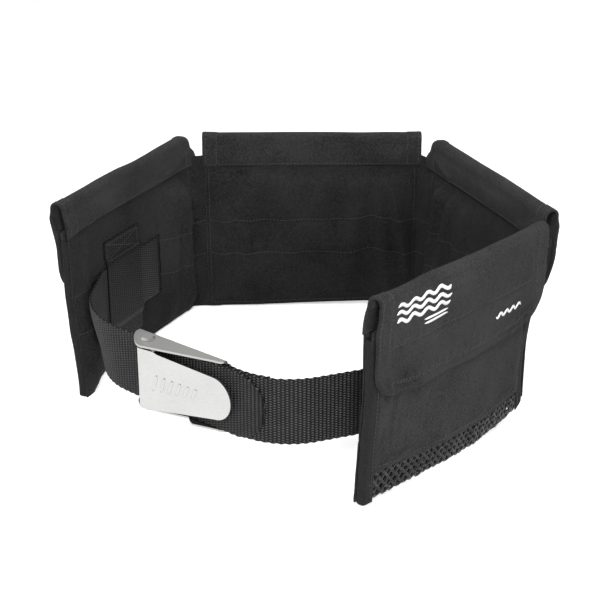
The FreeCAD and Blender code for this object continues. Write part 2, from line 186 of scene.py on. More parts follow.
class Sheet:
    """A layer of cloth over a grid of (u, v): middle surface, normals and thickness."""

    def __init__(self, us, vs, mid, thickness):
        self.us, self.vs = np.asarray(us, float), np.asarray(vs, float)
        self.mid = mid
        self.normal = grid_normals(mid)
        self.thick = np.broadcast_to(np.asarray(thickness, float), mid.shape[:2])

    def at(self, u, v):
        """Middle point, normal and half thickness at grid coordinates."""
        i = np.interp(u, self.us, np.arange(len(self.us)))
        j = np.interp(v, self.vs, np.arange(len(self.vs)))
        i0 = np.clip(np.floor(i).astype(int), 0, len(self.us) - 2)
        j0 = np.clip(np.floor(j).astype(int), 0, len(self.vs) - 2)
        s, t = (i - i0)[:, None], (j - j0)[:, None]

        def mix(a):
            return ((a[i0, j0] * (1 - s) + a[i0 + 1, j0] * s) * (1 - t)
                    + (a[i0, j0 + 1] * (1 - s) + a[i0 + 1, j0 + 1] * s) * t)

        return mix(self.mid), unit(mix(self.normal)), mix(self.thick[:, :, None] / 2)


def slab(name, sheet, material, keep=None, front=None, back=None, rim=0.42):
    """Closes a sheet into a solid layer with rounded edges. front and back are extra heights."""
    nu, nv = sheet.mid.shape[:2]
    half = sheet.thick[:, :, None] / 2
    rise = 0 if front is None else front[:, :, None]
    drop = 0 if back is None else back[:, :, None]
    top = (sheet.mid + sheet.normal * (half + rise)).reshape(-1, 3)
    under = (sheet.mid - sheet.normal * (half + drop)).reshape(-1, 3)
    count = nu * nv
    if keep is None:
        keep = np.ones((nu - 1, nv - 1), bool)
    quads = grid_quads(nu, nv)[keep]
    sides = dict.fromkeys((a, b) for q in quads.tolist() for a, b in zip(q, q[1:] + q[:1]))
    border = [(a, b) for a, b in sides if (b, a) not in sides]
    flat = sheet.mid.reshape(-1, 3)
    normal = sheet.normal.reshape(-1, 3)
    out = {}
    for a, b in border:
        along = flat[b] - flat[a]
        away = unit(np.cross(along, (normal[a] + normal[b]) / 2))
        for k in (a, b):
            out[k] = out.get(k, 0) + away
    rim_points, rim_index = [], {}
    thick = sheet.thick.reshape(-1)
    for k, away in out.items():
        rim_index[k] = 2 * count + len(rim_points)
        rim_points.append(flat[k] + unit(away) * thick[k] * rim)
    faces = quads.tolist() + (quads[:, ::-1] + count).tolist()
    for a, b in border:
        faces.append([b, a, rim_index[a], rim_index[b]])
        faces.append([a + count, b + count, rim_index[b], rim_index[a]])
    uu, vv = np.meshgrid(sheet.us, sheet.vs, indexing="ij")
    uv = np.stack([uu, vv], axis=-1).reshape(-1, 2)
    points = np.concatenate([top, under] + ([np.array(rim_points)] if rim_points else []))
    uv = np.concatenate([uv, uv] + ([uv[list(rim_index)]] if rim_points else []))
    used = np.zeros(len(points), bool)
    for f in faces:
        for k in f:
            used[k] = True
    order = np.cumsum(used) - 1
    faces = [[int(order[k]) for k in f] for f in faces]
    return make_mesh(name, points[used], faces, material, uv[used])


def tube(points, radius, sides, normals, flat=1.0):
    """Points and faces of a closed tube along a path; flat squeezes it along the normal."""
    points = np.asarray(points, float)
    tangent = unit(np.gradient(points, axis=0))
    across = unit(np.cross(tangent, normals))
    up = np.cross(across, tangent)
    radius = np.broadcast_to(np.asarray(radius, float), (len(points),))
    rings = []
    for k in range(sides):
        angle = 2 * math.pi * k / sides
        offset = across * math.cos(angle) + up * math.sin(angle) * flat
        rings.append(points + offset * radius[:, None])
    rings = np.stack(rings, axis=1).reshape(-1, 3)
    faces = []
    n = len(points)
    for i in range(n - 1):
        for k in range(sides):
            m = (k + 1) % sides
            faces.append([i * sides + k, i * sides + m, (i + 1) * sides + m, (i + 1) * sides + k])
    faces.append(list(reversed(range(sides))))
    faces.append([(n - 1) * sides + k for k in range(sides)])
    return rings, faces


def join(parts):
    """Merges lists of (points, faces) into one."""
    points, faces, start = [], [], 0
    for p, f in parts:
        points.append(p)
        faces += [[k + start for k in face] for face in f]
        start += len(p)
    return np.concatenate(points), faces


def joined_mesh(name, parts, material):
    return make_mesh(name, *join(parts), material)


# Thread

STITCH_PITCH = 3.1
STITCH_LENGTH = 2.3
STITCH_RADIUS = 0.36
STITCH_SINK = 0.05       # how far the cloth gives under a stitch


def path_points(us, vs, step):
    """Points at an even step along a polyline in grid coordinates."""
    run = run_along(np.stack([us, vs], axis=1))
    s = np.arange(step / 2, run[-1], step)
    return np.interp(s, run, us), np.interp(s, run, vs)


def stitch_row(sheet, us, vs, side=1, radius=STITCH_RADIUS, pitch=STITCH_PITCH):
    """Stitches along a path on one side of a sheet, as (points, faces) parts."""
    length = STITCH_LENGTH * pitch / STITCH_PITCH
    u, v = path_points(us, vs, 0.5)
    p, n, half = sheet.at(u, v)
    p = p + n * side * (half + radius * 0.35 - STITCH_SINK)
    run = run_along(p)
    parts = []
    shape = np.array([-0.5, -0.36, 0.0, 0.36, 0.5])
    swell = np.array([0.25, 0.85, 1.0, 0.85, 0.25])
    dip = np.array([-0.5, -0.15, 0.1, -0.15, -0.5])
    for centre in np.arange(pitch / 2, run[-1], pitch):
        s = centre + shape * length
        q = np.stack([np.interp(s, run, p[:, k]) for k in range(3)], axis=1)
        m = np.stack([np.interp(s, run, n[:, k]) for k in range(3)], axis=1) * side
        q = q + m * (dip * radius)[:, None]
        parts.append(tube(q, swell * radius, 5, m))
    return parts


# Materials

BUCKLE_TURN = -39.6
WEAVE_LONG = 2.9       # one float of the webbing's weave, along and across it
WEAVE_WIDE = 1.9
WEB_DARK, WEB_MIDDLE, WEB_LIGHT = (0.0015, 0.0015, 0.0016), (0.011, 0.011, 0.0112), (0.06, 0.06, 0.061)


class Nodes:
    """Short calls for building a node tree."""

    def __init__(self, owner, shader="Principled BSDF"):
        owner.use_nodes = True
        self.owner, self.tree = owner, owner.node_tree
        self.shader = self.tree.nodes[shader]

    def add(self, kind, inputs=None, **settings):
        node = self.tree.nodes.new(kind)
        for key, value in settings.items():
            setattr(node, key, value)
        for key, value in (inputs or {}).items():
            self.put(value, node.inputs[key])
        return node

    def put(self, value, socket):
        if isinstance(value, bpy.types.NodeSocket):
            self.tree.links.new(value, socket)
        else:
            socket.default_value = value

    def math(self, operation, a, b=0.0, c=0.0):
        node = self.add("ShaderNodeMath", {0: a, 1: b, 2: c}, operation=operation)
        return node.outputs[0]

    def plus(self, a, b):
        return self.math("ADD", a, b)

    def times(self, a, b):
        return self.math("MULTIPLY", a, b)

    def wave(self, value, period):
        """Height of round threads side by side, 0 to 1."""
        return self.math("ABSOLUTE", self.math("SINE", self.times(value, math.pi / period)))

    def uv(self):
        """The sheet's own coordinates in millimetres."""
        source = self.add("ShaderNodeUVMap", uv_map="UVMap").outputs[0]
        split = self.add("ShaderNodeSeparateXYZ", {0: source})
        return self.times(split.outputs[0], 1 / MM), self.times(split.outputs[1], 1 / MM)

    def place(self):
        return self.add("ShaderNodeTexCoord").outputs["Object"]

    def noise(self, scale, detail=2.0, vector=None, roughness=0.5):
        inputs = {"Scale": scale, "Detail": detail, "Roughness": roughness}
        inputs["Vector"] = vector if vector is not None else self.place()
        return self.add("ShaderNodeTexNoise", inputs).outputs[0]

    def spread(self, value, low, high, start=0.0, end=1.0):
        """Carries a value from start..end to low..high."""
        inputs = {"Value": value, "From Min": start, "From Max": end, "To Min": low, "To Max": high}
        return self.add("ShaderNodeMapRange", inputs).outputs["Result"]

    def ramp(self, value, stops):
        node = self.add("ShaderNodeValToRGB", {0: value})
        elements = node.color_ramp.elements
        for element, (at, colour) in zip(elements, (stops[0], stops[-1])):
            element.position = at
            element.color = (*colour, 1.0)
        for at, colour in stops[1:-1]:
            element = elements.new(at)
            element.color = (*colour, 1.0)
        return node.outputs[0]

    def mix(self, share, a, b):
        node = self.add("ShaderNodeMix", data_type="RGBA")
        for key, value in ((0, share), (6, a), (7, b)):
            if isinstance(value, tuple):
                value = (*value, 1.0)
            self.put(value, node.inputs[key])
        return node.outputs[2]

    def bump(self, height, strength, distance):
        inputs = {"Height": height, "Strength": strength, "Distance": distance}
        return self.add("ShaderNodeBump", inputs).outputs[0]

    def finish(self, **inputs):
        for key, value in inputs.items():
            label = key.replace("_", " ")
            if isinstance(value, tuple):
                value = (*value, 1.0)
            self.put(value, self.shader.inputs[label])
        return self.owner


def plain_weave(n, u, v, pitch):
    """Height of an over-and-under weave of round threads, 0 to 1."""
    a, b = n.math("DIVIDE", u, pitch), n.math("DIVIDE", v, pitch)
    warp_round = n.wave(a, 1.0)
    weft_round = n.wave(b, 1.0)
    cells = n.plus(n.math("FLOOR", a), n.math("FLOOR", b))
    over = n.math("PINGPONG", cells, 1.0)
    return n.plus(n.times(warp_round, over), n.times(weft_round, n.math("SUBTRACT", 1.0, over)))


def cloth_material(name, dark, light, pitch, roughness, sheen):
    n = Nodes(bpy.data.materials.new(name))
    u, v = n.uv()
    height = plain_weave(n, u, v, pitch)
    blotch = n.noise(28.0, 3.0)
    fibre = n.noise(620.0, 2.0)
    shade = n.plus(n.times(height, 0.22), n.times(blotch, 0.4))
    shade = n.plus(shade, n.times(fibre, 0.62))
    middle = tuple((a + b) / 2 for a, b in zip(dark, light))
    colour = n.ramp(shade, [(0.42, dark), (0.6, middle), (0.79, light)])
    relief = n.plus(height, n.times(fibre, 0.35))
    normal = n.bump(relief, 0.8, 0.0004)
    rough = n.plus(roughness - 0.06, n.times(blotch, 0.12))
    return n.finish(Base_Color=colour, Roughness=rough, Normal=normal, Sheen_Weight=sheen,
                    Sheen_Roughness=0.45, Specular_IOR_Level=0.16)


def ribbed_material(name, dark, light, pitch, roughness):
    """Grosgrain tape: fine ribs across its length."""
    n = Nodes(bpy.data.materials.new(name))
    u, v = n.uv()
    rib = n.wave(v, pitch)
    cross = n.wave(u, pitch * 0.45)
    fibre = n.noise(620.0, 2.0)
    shade = n.plus(n.times(rib, 0.35), n.times(fibre, 0.65))
    colour = n.ramp(shade, [(0.15, dark), (0.9, light)])
    relief = n.plus(rib, n.times(cross, 0.3))
    normal = n.bump(relief, 0.6, 0.0002)
    return n.finish(Base_Color=colour, Roughness=roughness, Normal=normal, Sheen_Weight=0.03,
                    Specular_IOR_Level=0.18)


def webbing_material(name, shade_scale=1.0):
    """Coarse nylon webbing: dark yarns; the raised floats are painted lighter in the colour, a painted
    highlight where they catch the light.
    """
    n = Nodes(bpy.data.materials.new(name))
    # shade_scale darkens all three colours: a painted shade for a darker copy of the webbing.
    dark, middle, light = (tuple(c * shade_scale for c in shade) for shade in (WEB_DARK, WEB_MIDDLE, WEB_LIGHT))
    u, v = n.uv()
    column = n.math("FLOOR", n.math("DIVIDE", u, WEAVE_LONG))
    along = n.math("POWER", n.wave(u, WEAVE_LONG), 0.6)
    phase = n.plus(n.math("DIVIDE", v, WEAVE_WIDE), n.times(column, 0.5))
    across = n.wave(phase, 1.0)
    yarn = n.noise(1600.0, 2.0)
    blotch = n.noise(90.0, 3.0)
    float_top = n.times(across, along)
    # Float height lightens the colour: a painted highlight on the raised floats.
    shade = n.plus(n.times(float_top, 0.85), n.times(yarn, 0.2))
    shade = n.plus(shade, n.times(blotch, 0.2))
    colour = n.ramp(shade, [(0.35, dark), (0.75, middle), (1.1, light)])
    relief = n.plus(float_top, n.times(yarn, 0.3))
    normal = n.bump(relief, 0.8, 0.0004)
    return n.finish(Base_Color=colour, Roughness=0.5, Normal=normal, Specular_IOR_Level=0.3)


def yarn_material(name, colour):
    n = Nodes(bpy.data.materials.new(name))
    fibre = n.noise(1400.0, 3.0)
    low = tuple(c * 0.55 for c in colour)
    shade = n.ramp(fibre, [(0.25, low), (0.75, colour)])
    normal = n.bump(fibre, 0.5, 0.0001)
    return n.finish(Base_Color=shade, Roughness=0.5, Normal=normal, Sheen_Weight=0.1)


def pile_material(name, colour, scale):
    """Hook or loop tape: a dense fuzzy pile."""
    n = Nodes(bpy.data.materials.new(name))
    pile = n.noise(scale, 4.0, roughness=0.7)
    cells = n.add("ShaderNodeTexVoronoi", {"Scale": scale * 0.6, "Vector": n.place()}).outputs[0]
    low = tuple(c * 0.3 for c in colour)
    shade = n.ramp(n.plus(n.times(pile, 0.6), n.times(cells, 0.4)),
                   [(0.25, low), (0.8, colour)])
    normal = n.bump(n.plus(pile, cells), 0.9, 0.0005)
    return n.finish(Base_Color=shade, Roughness=0.9, Normal=normal, Sheen_Weight=0.1,
                    Specular_IOR_Level=0.2)


def steel_material(name, colour, roughness, grain, brush_axis):
    """Stainless steel with fine brushing along one axis of the part, and light handling marks."""
    n = Nodes(bpy.data.materials.new(name))
    rotation = (0.0, 0.0, math.radians(-BUCKLE_TURN))
    mapping = {"Vector": n.place(), "Rotation": rotation, "Scale": brush_axis}
    turn = n.add("ShaderNodeMapping", mapping).outputs[0]
    brushed = n.noise(1.0, 3.0, turn, 0.6)
    smudge = n.noise(55.0, 2.0)
    rough = n.plus(roughness - grain, n.times(brushed, grain * 1.4))
    rough = n.plus(rough, n.times(smudge, grain * 0.6))
    shade = n.ramp(n.plus(n.times(brushed, 0.6), n.times(smudge, 0.4)),
                   [(0.3, tuple(c * 0.9 for c in colour)), (0.7, colour)])
    normal = n.bump(brushed, 0.12, 0.00005)
    return n.finish(Base_Color=shade, Metallic=1.0, Roughness=rough, Normal=normal)


CLOTH = cloth_material("pack_cloth", (0.0008, 0.0008, 0.0009), (0.023, 0.023, 0.0232), 0.8, 0.8, 0.03)
# The same pack cloth as CLOTH, painted lighter for the outward faces of panels and flaps: painted light.
PAINTED_LIT_CLOTH = cloth_material("painted_lit_cloth", (0.0009, 0.0009, 0.0009), (0.029, 0.029, 0.0286), 0.8, 0.76, 0.05)
BINDING = ribbed_material("binding_tape", (0.0008, 0.0008, 0.0009), (0.021, 0.021, 0.0212), 1.1, 0.75)
WEBBING = webbing_material("webbing")
# The same webbing painted darker for the keepers on the pockets' inner faces: painted shade.
KEEPER_WEBBING_PAINTED_SHADE = webbing_material("keeper_webbing_painted_shade", 0.45)
NET = yarn_material("net_yarn", (0.008, 0.008, 0.0082))
THREAD = yarn_material("thread", (0.024, 0.024, 0.0245))
WHITE_THREAD = yarn_material("white_thread", (0.82, 0.82, 0.84))
LOOP = pile_material("loop_pile", (0.02, 0.02, 0.021), 700.0)
HOOK = pile_material("hook_pile", (0.012, 0.012, 0.013), 1100.0)
SATIN = steel_material("satin_steel", (0.72, 0.715, 0.70), 0.34, 0.12, (25.0, 900.0, 900.0))
POLISHED = steel_material("polished_steel", (0.84, 0.84, 0.83), 0.2, 0.07, (25.0, 700.0, 700.0))


# Cloth simulation

def settle(jobs):
    """Runs Blender's cloth on flat sheets and returns their settled middle surfaces."""
    scene = bpy.context.scene
    temps = []
    for job in jobs:
        nu, nv = job["mid"].shape[:2]
        quads = grid_quads(nu, nv)
        mesh = bpy.data.meshes.new("settle")
        mesh.from_pydata((job["mid"].reshape(-1, 3) * MM).tolist(), [], quads.reshape(-1, 4).tolist())
        obj = bpy.data.objects.new("settle", mesh)
        scene.collection.objects.link(obj)
        group = obj.vertex_groups.new(name="pin")
        for k, weight in enumerate(job["pin"].reshape(-1)):
            if weight > 0:
                group.add([k], float(weight), "REPLACE")
        modifier = obj.modifiers.new("Cloth", "CLOTH")
        cloth = modifier.settings
        cloth.quality = 5
        cloth.mass = 0.15
        cloth.tension_stiffness = 12
        cloth.compression_stiffness = 12
        cloth.shear_stiffness = 6
        cloth.bending_stiffness = 0.4
        cloth.vertex_group_mass = "pin"
        cloth.pin_stiffness = 1.0
        cloth.shrink_min = -job["slack"]
        cloth.shrink_max = -job["slack"]
        cloth.effector_weights.gravity = 0.0
        cloth.use_pressure = True
        cloth.uniform_pressure_force = job["pressure"]
        temps.append(obj)
    for number in range(1, SETTLE_FRAMES + 1):
        scene.frame_set(number)
    depsgraph = bpy.context.evaluated_depsgraph_get()
    results = []
    for job, obj in zip(jobs, temps):
        settled = np.zeros(job["mid"].size, np.float32)
        obj.evaluated_get(depsgraph).data.vertices.foreach_get("co", settled)
        move = settled.reshape(job["mid"].shape) / MM - job["mid"]
        low, high = job["cap"]
        cap = np.where(move[..., 1] < 0, low, high)
        move[..., 1] = cap * np.tanh(move[..., 1] / np.maximum(cap, 1e-6))
        for k in (0, 2):
            move[..., k] = SIDE_CAP * np.tanh(move[..., k] / SIDE_CAP)
        results.append(job["mid"] + move)
    for obj in temps:
        mesh = obj.data
        bpy.data.objects.remove(obj)
        bpy.data.meshes.remove(mesh)
    scene.frame_set(1)
    return results


# How each pocket hangs: small leans and bows of the whole pocket

CORNER_LEAN = (-11.5, 0.0, 0.0)      # how far the front right corner hangs in at its foot
DROP_RADIUS, DROP_LENGTH = 14.0, 27.0


def shift_world(name, p, share, move):
    """Adds a share of a move given in the row's plan directions to a pocket's local points."""
    place = PLACE[name]
    p[..., 0] += share * float(np.dot(move, place.x))
    p[..., 1] += share * float(np.dot(move, place.y))


def lean_corner(name, p, toward, z):
    """Leans a pocket's end in at its foot; toward is the distance from its middle to that end."""
    foot = 0.14 + 0.86 * smooth((134 - z) / 87)
    shift_world(name, p, smooth((toward - 10) / 83) * foot * smooth((170 - z) / 20), CORNER_LEAN)


def corner_drop(x):
    """Rounded lower corner at the strapless end of the front pocket."""
    over = np.clip((DROP_LENGTH - HALF - x) / DROP_LENGTH, 0, 1)
    return DROP_RADIUS * (1 - np.sqrt(np.maximum(1 - over ** 2, 0.0)))


def hang(name, p):
    """A pocket's points as it hangs: ends that lean, faces that bow and lower edges that rise."""
    p = np.array(p, float)
    x, y, z = p[..., 0].copy(), p[..., 1].copy(), p[..., 2].copy()
    if name == "left":
        end = smooth((-x - 45) / 48)
        p[..., 1] -= 4.2 * end * smooth((158 - z) / 30)
        lean = smooth((-x - 38) / 55) * smooth((95 - z) / 95)
        p[..., 1] -= 7.5 * lean
        p[..., 2] += 1.5 * smooth((x + 93) / 80) * smooth((40 - z) / 40)
    if name == "front":
        end = smooth((x - 40) / 53) * smooth((160 - z) / 30)
        shift_world(name, p, end, (-3.6, 0.0, 0.0))
        lean = smooth((x - 10) / 83) * smooth((100 - z) / 100)
        p[..., 1] -= 7.0 * lean
        p[..., 0] -= 1.5 * lean
        lean_corner(name, p, -x, z)
        lift = 2.0 + 6.0 * smooth((86 - x) / 60) + corner_drop(x)
        p[..., 2] += lift * smooth((44 - z) / 44) ** 1.5
        p[..., 1] += 1.2 * smooth((86 - x) / 60) * smooth((30 - z) / 30)
    if name == "right":
        lean_corner(name, p, x, z)
        p[..., 1] -= smooth((x - 60) / 33) * smooth((120 - z) / 50) * np.clip(y, 0, 8) * 0.7
        p[..., 2] += 6.0 * smooth((x - 10) / 83) * smooth((40 - z) / 40)
    if name == "rear":
        p[..., 1] += 2.5 * smooth(1 - z / TOP) * np.cos(np.clip(x / HALF, -1, 1) * math.pi / 2)
        p[..., 2] += (1.5 + 3.2 * smooth((x + 60) / 130)) * smooth((40 - z) / 40)
    return p


def put(name, p):
    """World places of a pocket's points once it hangs."""
    return PLACE[name].world(hang(name, p))


# Pocket panels

STEP = 2.6
SEAM_ROWS = (52.6, 83.6)         # stitching that holds the webbing in
BOUND = 80.5                     # beyond this the side bindings hold a panel
INNER_TOP = 150.0
INNER_CAP, OUTER_CAP = (2.2, 0.12), (1.5, 3.2)     # how far a panel may settle inward and outward
SETTLE_FRAMES = 20
SIDE_CAP = 1.5                   # how far it may settle within its own plane


def span(a, b, step=STEP):
    """Evenly spaced values from a to b, about a step apart."""
    return np.linspace(a, b, max(2, int(round((b - a) / step)) + 1))


def seam_wave(name, x, z):
    """How far a stitched row wanders from straight."""
    seed = 3 + POCKETS.index(name)
    wander = 0.7 * soft_noise(x, z, 55.0, seed) * smooth((90 - np.abs(x)) / 20)
    if name == "left":
        wander = wander - 5.0 * smooth((x - 20) / 60)
    if name == "rear":
        wander = wander + 3.8 * bell(x, 52.0, 17.0)
    return wander


def panel_jobs():
    jobs, keys = [], []
    for name in POCKETS:
        xs, zs = span(-92.4, 92.4), span(0.0, INNER_TOP)
        x, z = np.meshgrid(xs, zs, indexing="ij")
        mid = np.stack([x, 0.6 - 1.15 * smooth((np.abs(x) - 79) / 4), z], axis=-1)
        pin = np.zeros_like(x)
        pin[(np.abs(x) > BOUND) | (z < 3.0) | (z > FLAP_SEAM_Z - 1)] = 1.0
        for row in SEAM_ROWS:
            pin[np.abs(z - row - seam_wave(name, x, row)) < STEP * 0.55] = 1.0
        if name in STRAPPED:
            side = STRAPPED[name]
            pin[(side * x > -50) & (side * x < 15)] = 1.0
            pin[(side * x > 33) & (side * x < 48) & (z > 33) & (z < 93)] = 1.0
        jobs.append({"mid": mid, "pin": pin, "slack": 0.018, "pressure": -1.5, "cap": INNER_CAP})
        keys.append((name, "inner", xs, zs))
        xs, zs = span(-PANEL_HALF, PANEL_HALF), span(NET_TOP + 0.1, OUTER_TOP)
        x, z = np.meshgrid(xs, zs, indexing="ij")
        mid = np.stack([x, np.full_like(x, 6.1), z], axis=-1)
        pin = np.zeros_like(x)
        pin[(np.abs(x) > BOUND) | (z < NET_TOP + 4)] = 1.0
        pin[(np.abs(x) < 79) & (z > 92) & (z < 122)] = 1.0
        jobs.append({"mid": mid, "pin": pin, "slack": 0.03, "pressure": 2.0, "cap": OUTER_CAP})
        keys.append((name, "outer", xs, zs))
    return jobs, keys


def build_panels():
    jobs, keys = panel_jobs()
    results = settle(jobs)
    return {(name, kind): (xs, zs, mid) for (name, kind, xs, zs), mid in zip(keys, results)}


def add_relief(name, kind, mid):
    """Adds sewn valleys, puckers and soft folds to a settled panel."""
    x, z = mid[..., 0], mid[..., 2]
    seed = 90 + 7 * POCKETS.index(name)
    edge = smooth((HALF - np.abs(x)) / 14) * smooth((z + 4) / 14)
    if kind == "inner":
        draw = np.zeros_like(x)
        for row in SEAM_ROWS:
            off = z - row - seam_wave(name, x, row)
            draw = draw + 0.5 * bell(off, 0.0, 1.7)
            pucker = np.sin(x * 0.9 + 4.0 * soft_noise(x, 0.0, 19.0, seed + 4))
            pucker *= 0.5 + 0.5 * soft_noise(x, row, 25.0, seed + 6)
            draw = draw + 0.14 * pucker * bell(off, 0.0, 4.0)
        ease = 1.0
        if name in STRAPPED:
            side = STRAPPED[name]
            ease = smooth((side * x - 40) / 12) + smooth((-62 - side * x) / 12)
        rounded = 0.5 + 0.5 * folds(x, z * 0.4, 34.0, seed)
        mid[..., 1] -= 5.0 * edge * ease * rounded * smooth((130 - z) / 14)
        mid[..., 1] -= 6.0 * edge * ease * vertical_folds(name, x, z)
        mid[..., 1] += draw - 0.2 * folds(x, z, 11.0, seed + 2)
    else:
        mid[..., 1] += 3.2 * edge * (0.5 + 0.5 * folds(x, z * 0.8, 48.0, seed + 11)) * smooth((92 - z) / 20)
        mid[..., 1] += 0.26 * folds(x, z, 13.0, seed + 12)
    return mid


FOLD_LINES = {                      # along the pocket, lean of the fold, width and height
    "rear": ((-55, 0.10, 9, 0.8), (-22, -0.16, 11, 0.5), (38, 0.12, 9, 0.8), (62, -0.10, 6, 0.9),
             (78, -0.22, 5, 1.2), (-76, 0.06, 6, 0.9)),
    "left": ((60, 0.05, 8, 0.9), (76, -0.10, 6, 1.2), (30, 0.10, 9, 0.5), (-70, 0.05, 12, 0.6)),
    "right": ((-76, 0.16, 6, 1.3), (-58, 0.30, 7, 1.2), (-36, 0.25, 9, 0.9), (10, 0.15, 14, 0.6)),
    "front": ((40, 0.05, 12, 0.6), (-40, -0.08, 12, 0.6)),
}


def vertical_folds(name, x, z):
    """Soft upright folds in a hanging panel, mostly near its seams."""
    total = np.zeros_like(x)
    for centre, lean, width, height in FOLD_LINES[name]:
        total = total + height * bell(x, centre + lean * (z - 75), width)
    return total * smooth(z / 20) * smooth((134 - z) / 20)


def finish_piece(nodes):
    if nodes:
        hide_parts(*nodes)


def piece(obj, body, slot, *nodes):
    """Rides a piece on its body and hides the CAD nodes it stands for."""
    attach(obj, body)
    finish_piece(nodes)


def crossing_piece(obj, first, second, start, end, slot, *nodes):
    """For cloth that crosses a joint: bakes its place into its mesh and hides the CAD nodes it stands for.
    """
    tuple(np.asarray(start) * MM)
    tuple(np.asarray(end) * MM)
    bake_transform(obj)
    finish_piece(nodes)


def slot_hole(name, xs, zs):
    """Leaves out the cells of an inner panel that its strap passes through."""
    cx = (xs[:-1] + xs[1:]) / 2
    cz = (zs[:-1] + zs[1:]) / 2
    keep = np.ones((len(cx), len(cz)), bool)
    if name in STRAPPED:
        low, high = STRAP_SLOT[name]
        inside_x = (cx > low) & (cx < high)
        inside_z = (cz > WEB_LOW - 1.2) & (cz < WEB_HIGH + 1.2)
        keep[np.ix_(inside_x, inside_z)] = False
    return keep


def build_pocket_panels():
    sheets = {}
    for (name, kind), (xs, zs, mid) in build_panels().items():
        mid = add_relief(name, kind, mid)
        x, z = np.meshgrid(xs, zs, indexing="ij")
        thick = np.full_like(x, 1.15)
        if kind == "inner":
            thick = thick + 0.9 * (1 - smooth((z - 3.5) / 3.0))
        else:
            thick = thick + 0.7 * smooth((z - OUTER_TOP + 9) / 1.5)
        sheet = sheets[name, kind] = Sheet(xs, zs, put(name, mid), thick)
        keep = slot_hole(name, xs, zs) if kind == "inner" else None
        # Outer panels take the cloth painted lighter, a painted light; inner panels take the plain pack
        # cloth.
        cloth = CLOTH if kind == "inner" else PAINTED_LIT_CLOTH
        obj = slab(name + "_" + kind + "_cloth", sheet, cloth, keep)
        piece(obj, name + "_pocket", "pack_cloth", name + "_" + kind + "_panel")
    return sheets


# Side bindings: tape folded over the pocket's upright edges

BINDING_Y = (0.35, 7.3)
BINDING_CORNER = 2.6


def arc(centre, radius, degrees):
    angles = np.radians(degrees)
    return list(zip(centre[0] + radius * np.cos(angles), centre[1] + radius * np.sin(angles)))


def binding_sheet(name, side):
    y_in, y_out = BINDING_Y
    edge, corner = HALF - 0.5, BINDING_CORNER
    straight = np.linspace(y_in + corner, y_out - corner, 5)[1:-1]
    profile = [(87.0, y_in), (88.5, y_in), (edge - corner, y_in)]
    profile += arc((edge - corner, y_in + corner), corner, np.arange(-72, 1, 18))
    profile += [(edge, y) for y in straight]
    profile += arc((edge - corner, y_out - corner), corner, np.arange(0, 73, 18))
    profile += [(edge - corner, y_out), (88.0, y_out), (86.0, y_out), (84.0, y_out)]
    profile = np.array(profile)
    run = run_along(profile)
    zs = span(0.0, FLAP_SEAM_Z - 0.2, 2.2)
    x = np.repeat(profile[:, :1], len(zs), axis=1)
    y = np.repeat(profile[:, 1:], len(zs), axis=1)
    z = np.repeat(zs[None, :], len(profile), axis=0)
    seed = 200 + 10 * POCKETS.index(name) + side
    wave = 0.35 * soft_noise(z, 0.0, 9.0, seed) + 0.3 * soft_noise(z, 0.0, 23.0, seed + 3)
    free = bell(run[:, None], 0.0, 5.0) + bell(run[:, None], run[-1], 5.0)
    x = x + wave * free + 0.35 * soft_noise(z, 0.0, 15.0, seed + 1)
    y = y + 0.25 * soft_noise(z, run[:, None], 14.0, seed + 2)
    mid = np.stack([side * x, y, z], axis=-1)
    if side < 0:
        mid, run = mid[::-1], run[-1] - run[::-1]
    return Sheet(run, zs, put(name, mid), 0.95)


def build_bindings():
    sheets = {}
    for name in POCKETS:
        for side, label in ((-1, "a"), (1, "b")):
            sheet = sheets[name, side] = binding_sheet(name, side)
            obj = slab(name + "_side_binding_" + label, sheet, BINDING)
            nodes = (name + "_side_bindings",) if side > 0 else ()
            piece(obj, name + "_pocket", "binding_tape", *nodes)
    return sheets


# Flaps: one sheet from the hem inside, over the fold and down the outside

FLARED = {"left": 1, "right": -1}
LID_START, LID_END = (1.9, 155.0), (5.3, 154.66)     # where a flap starts and ends turning: y, z
TAPE_ROWS = (94.5, 121.5)        # stitching that holds the tape under a flap
FLAP_Y = 9.4                     # middle of the flap's outside
FLAP_CORNER = 18.0
BORDER = 0.86                    # share of a flap's half width where its finer columns start


def flap_profile():
    """Path of a flap across its fold: y, z, and the run along it."""
    rows = [(-0.9, z) for z in np.linspace(HEM_Z, FOLD_Z, 10)]
    for k in range(1, 18):
        a = math.radians(180 - 10 * k)
        r = 4.4 + 1.3 * k / 18
        rows.append((FOLD_Y + r * math.cos(a), FOLD_Z + r * math.sin(a)))
    corner_z = FLAP_BOTTOM + FLAP_CORNER
    rows += [(FLAP_Y, z) for z in np.linspace(FOLD_Z, corner_z, 24)]
    rows += [(FLAP_Y, corner_z - FLAP_CORNER * math.sin(math.radians(7.5 * k))) for k in range(1, 13)]
    rows = np.array(rows)
    return rows, run_along(rows)


def flap_run(z):
    """Run along a flap at a height on its outside."""
    rows, run = flap_profile()
    outside = rows[:, 0] > FLAP_Y - 0.4
    return np.interp(-z, -rows[outside, 1], run[outside])


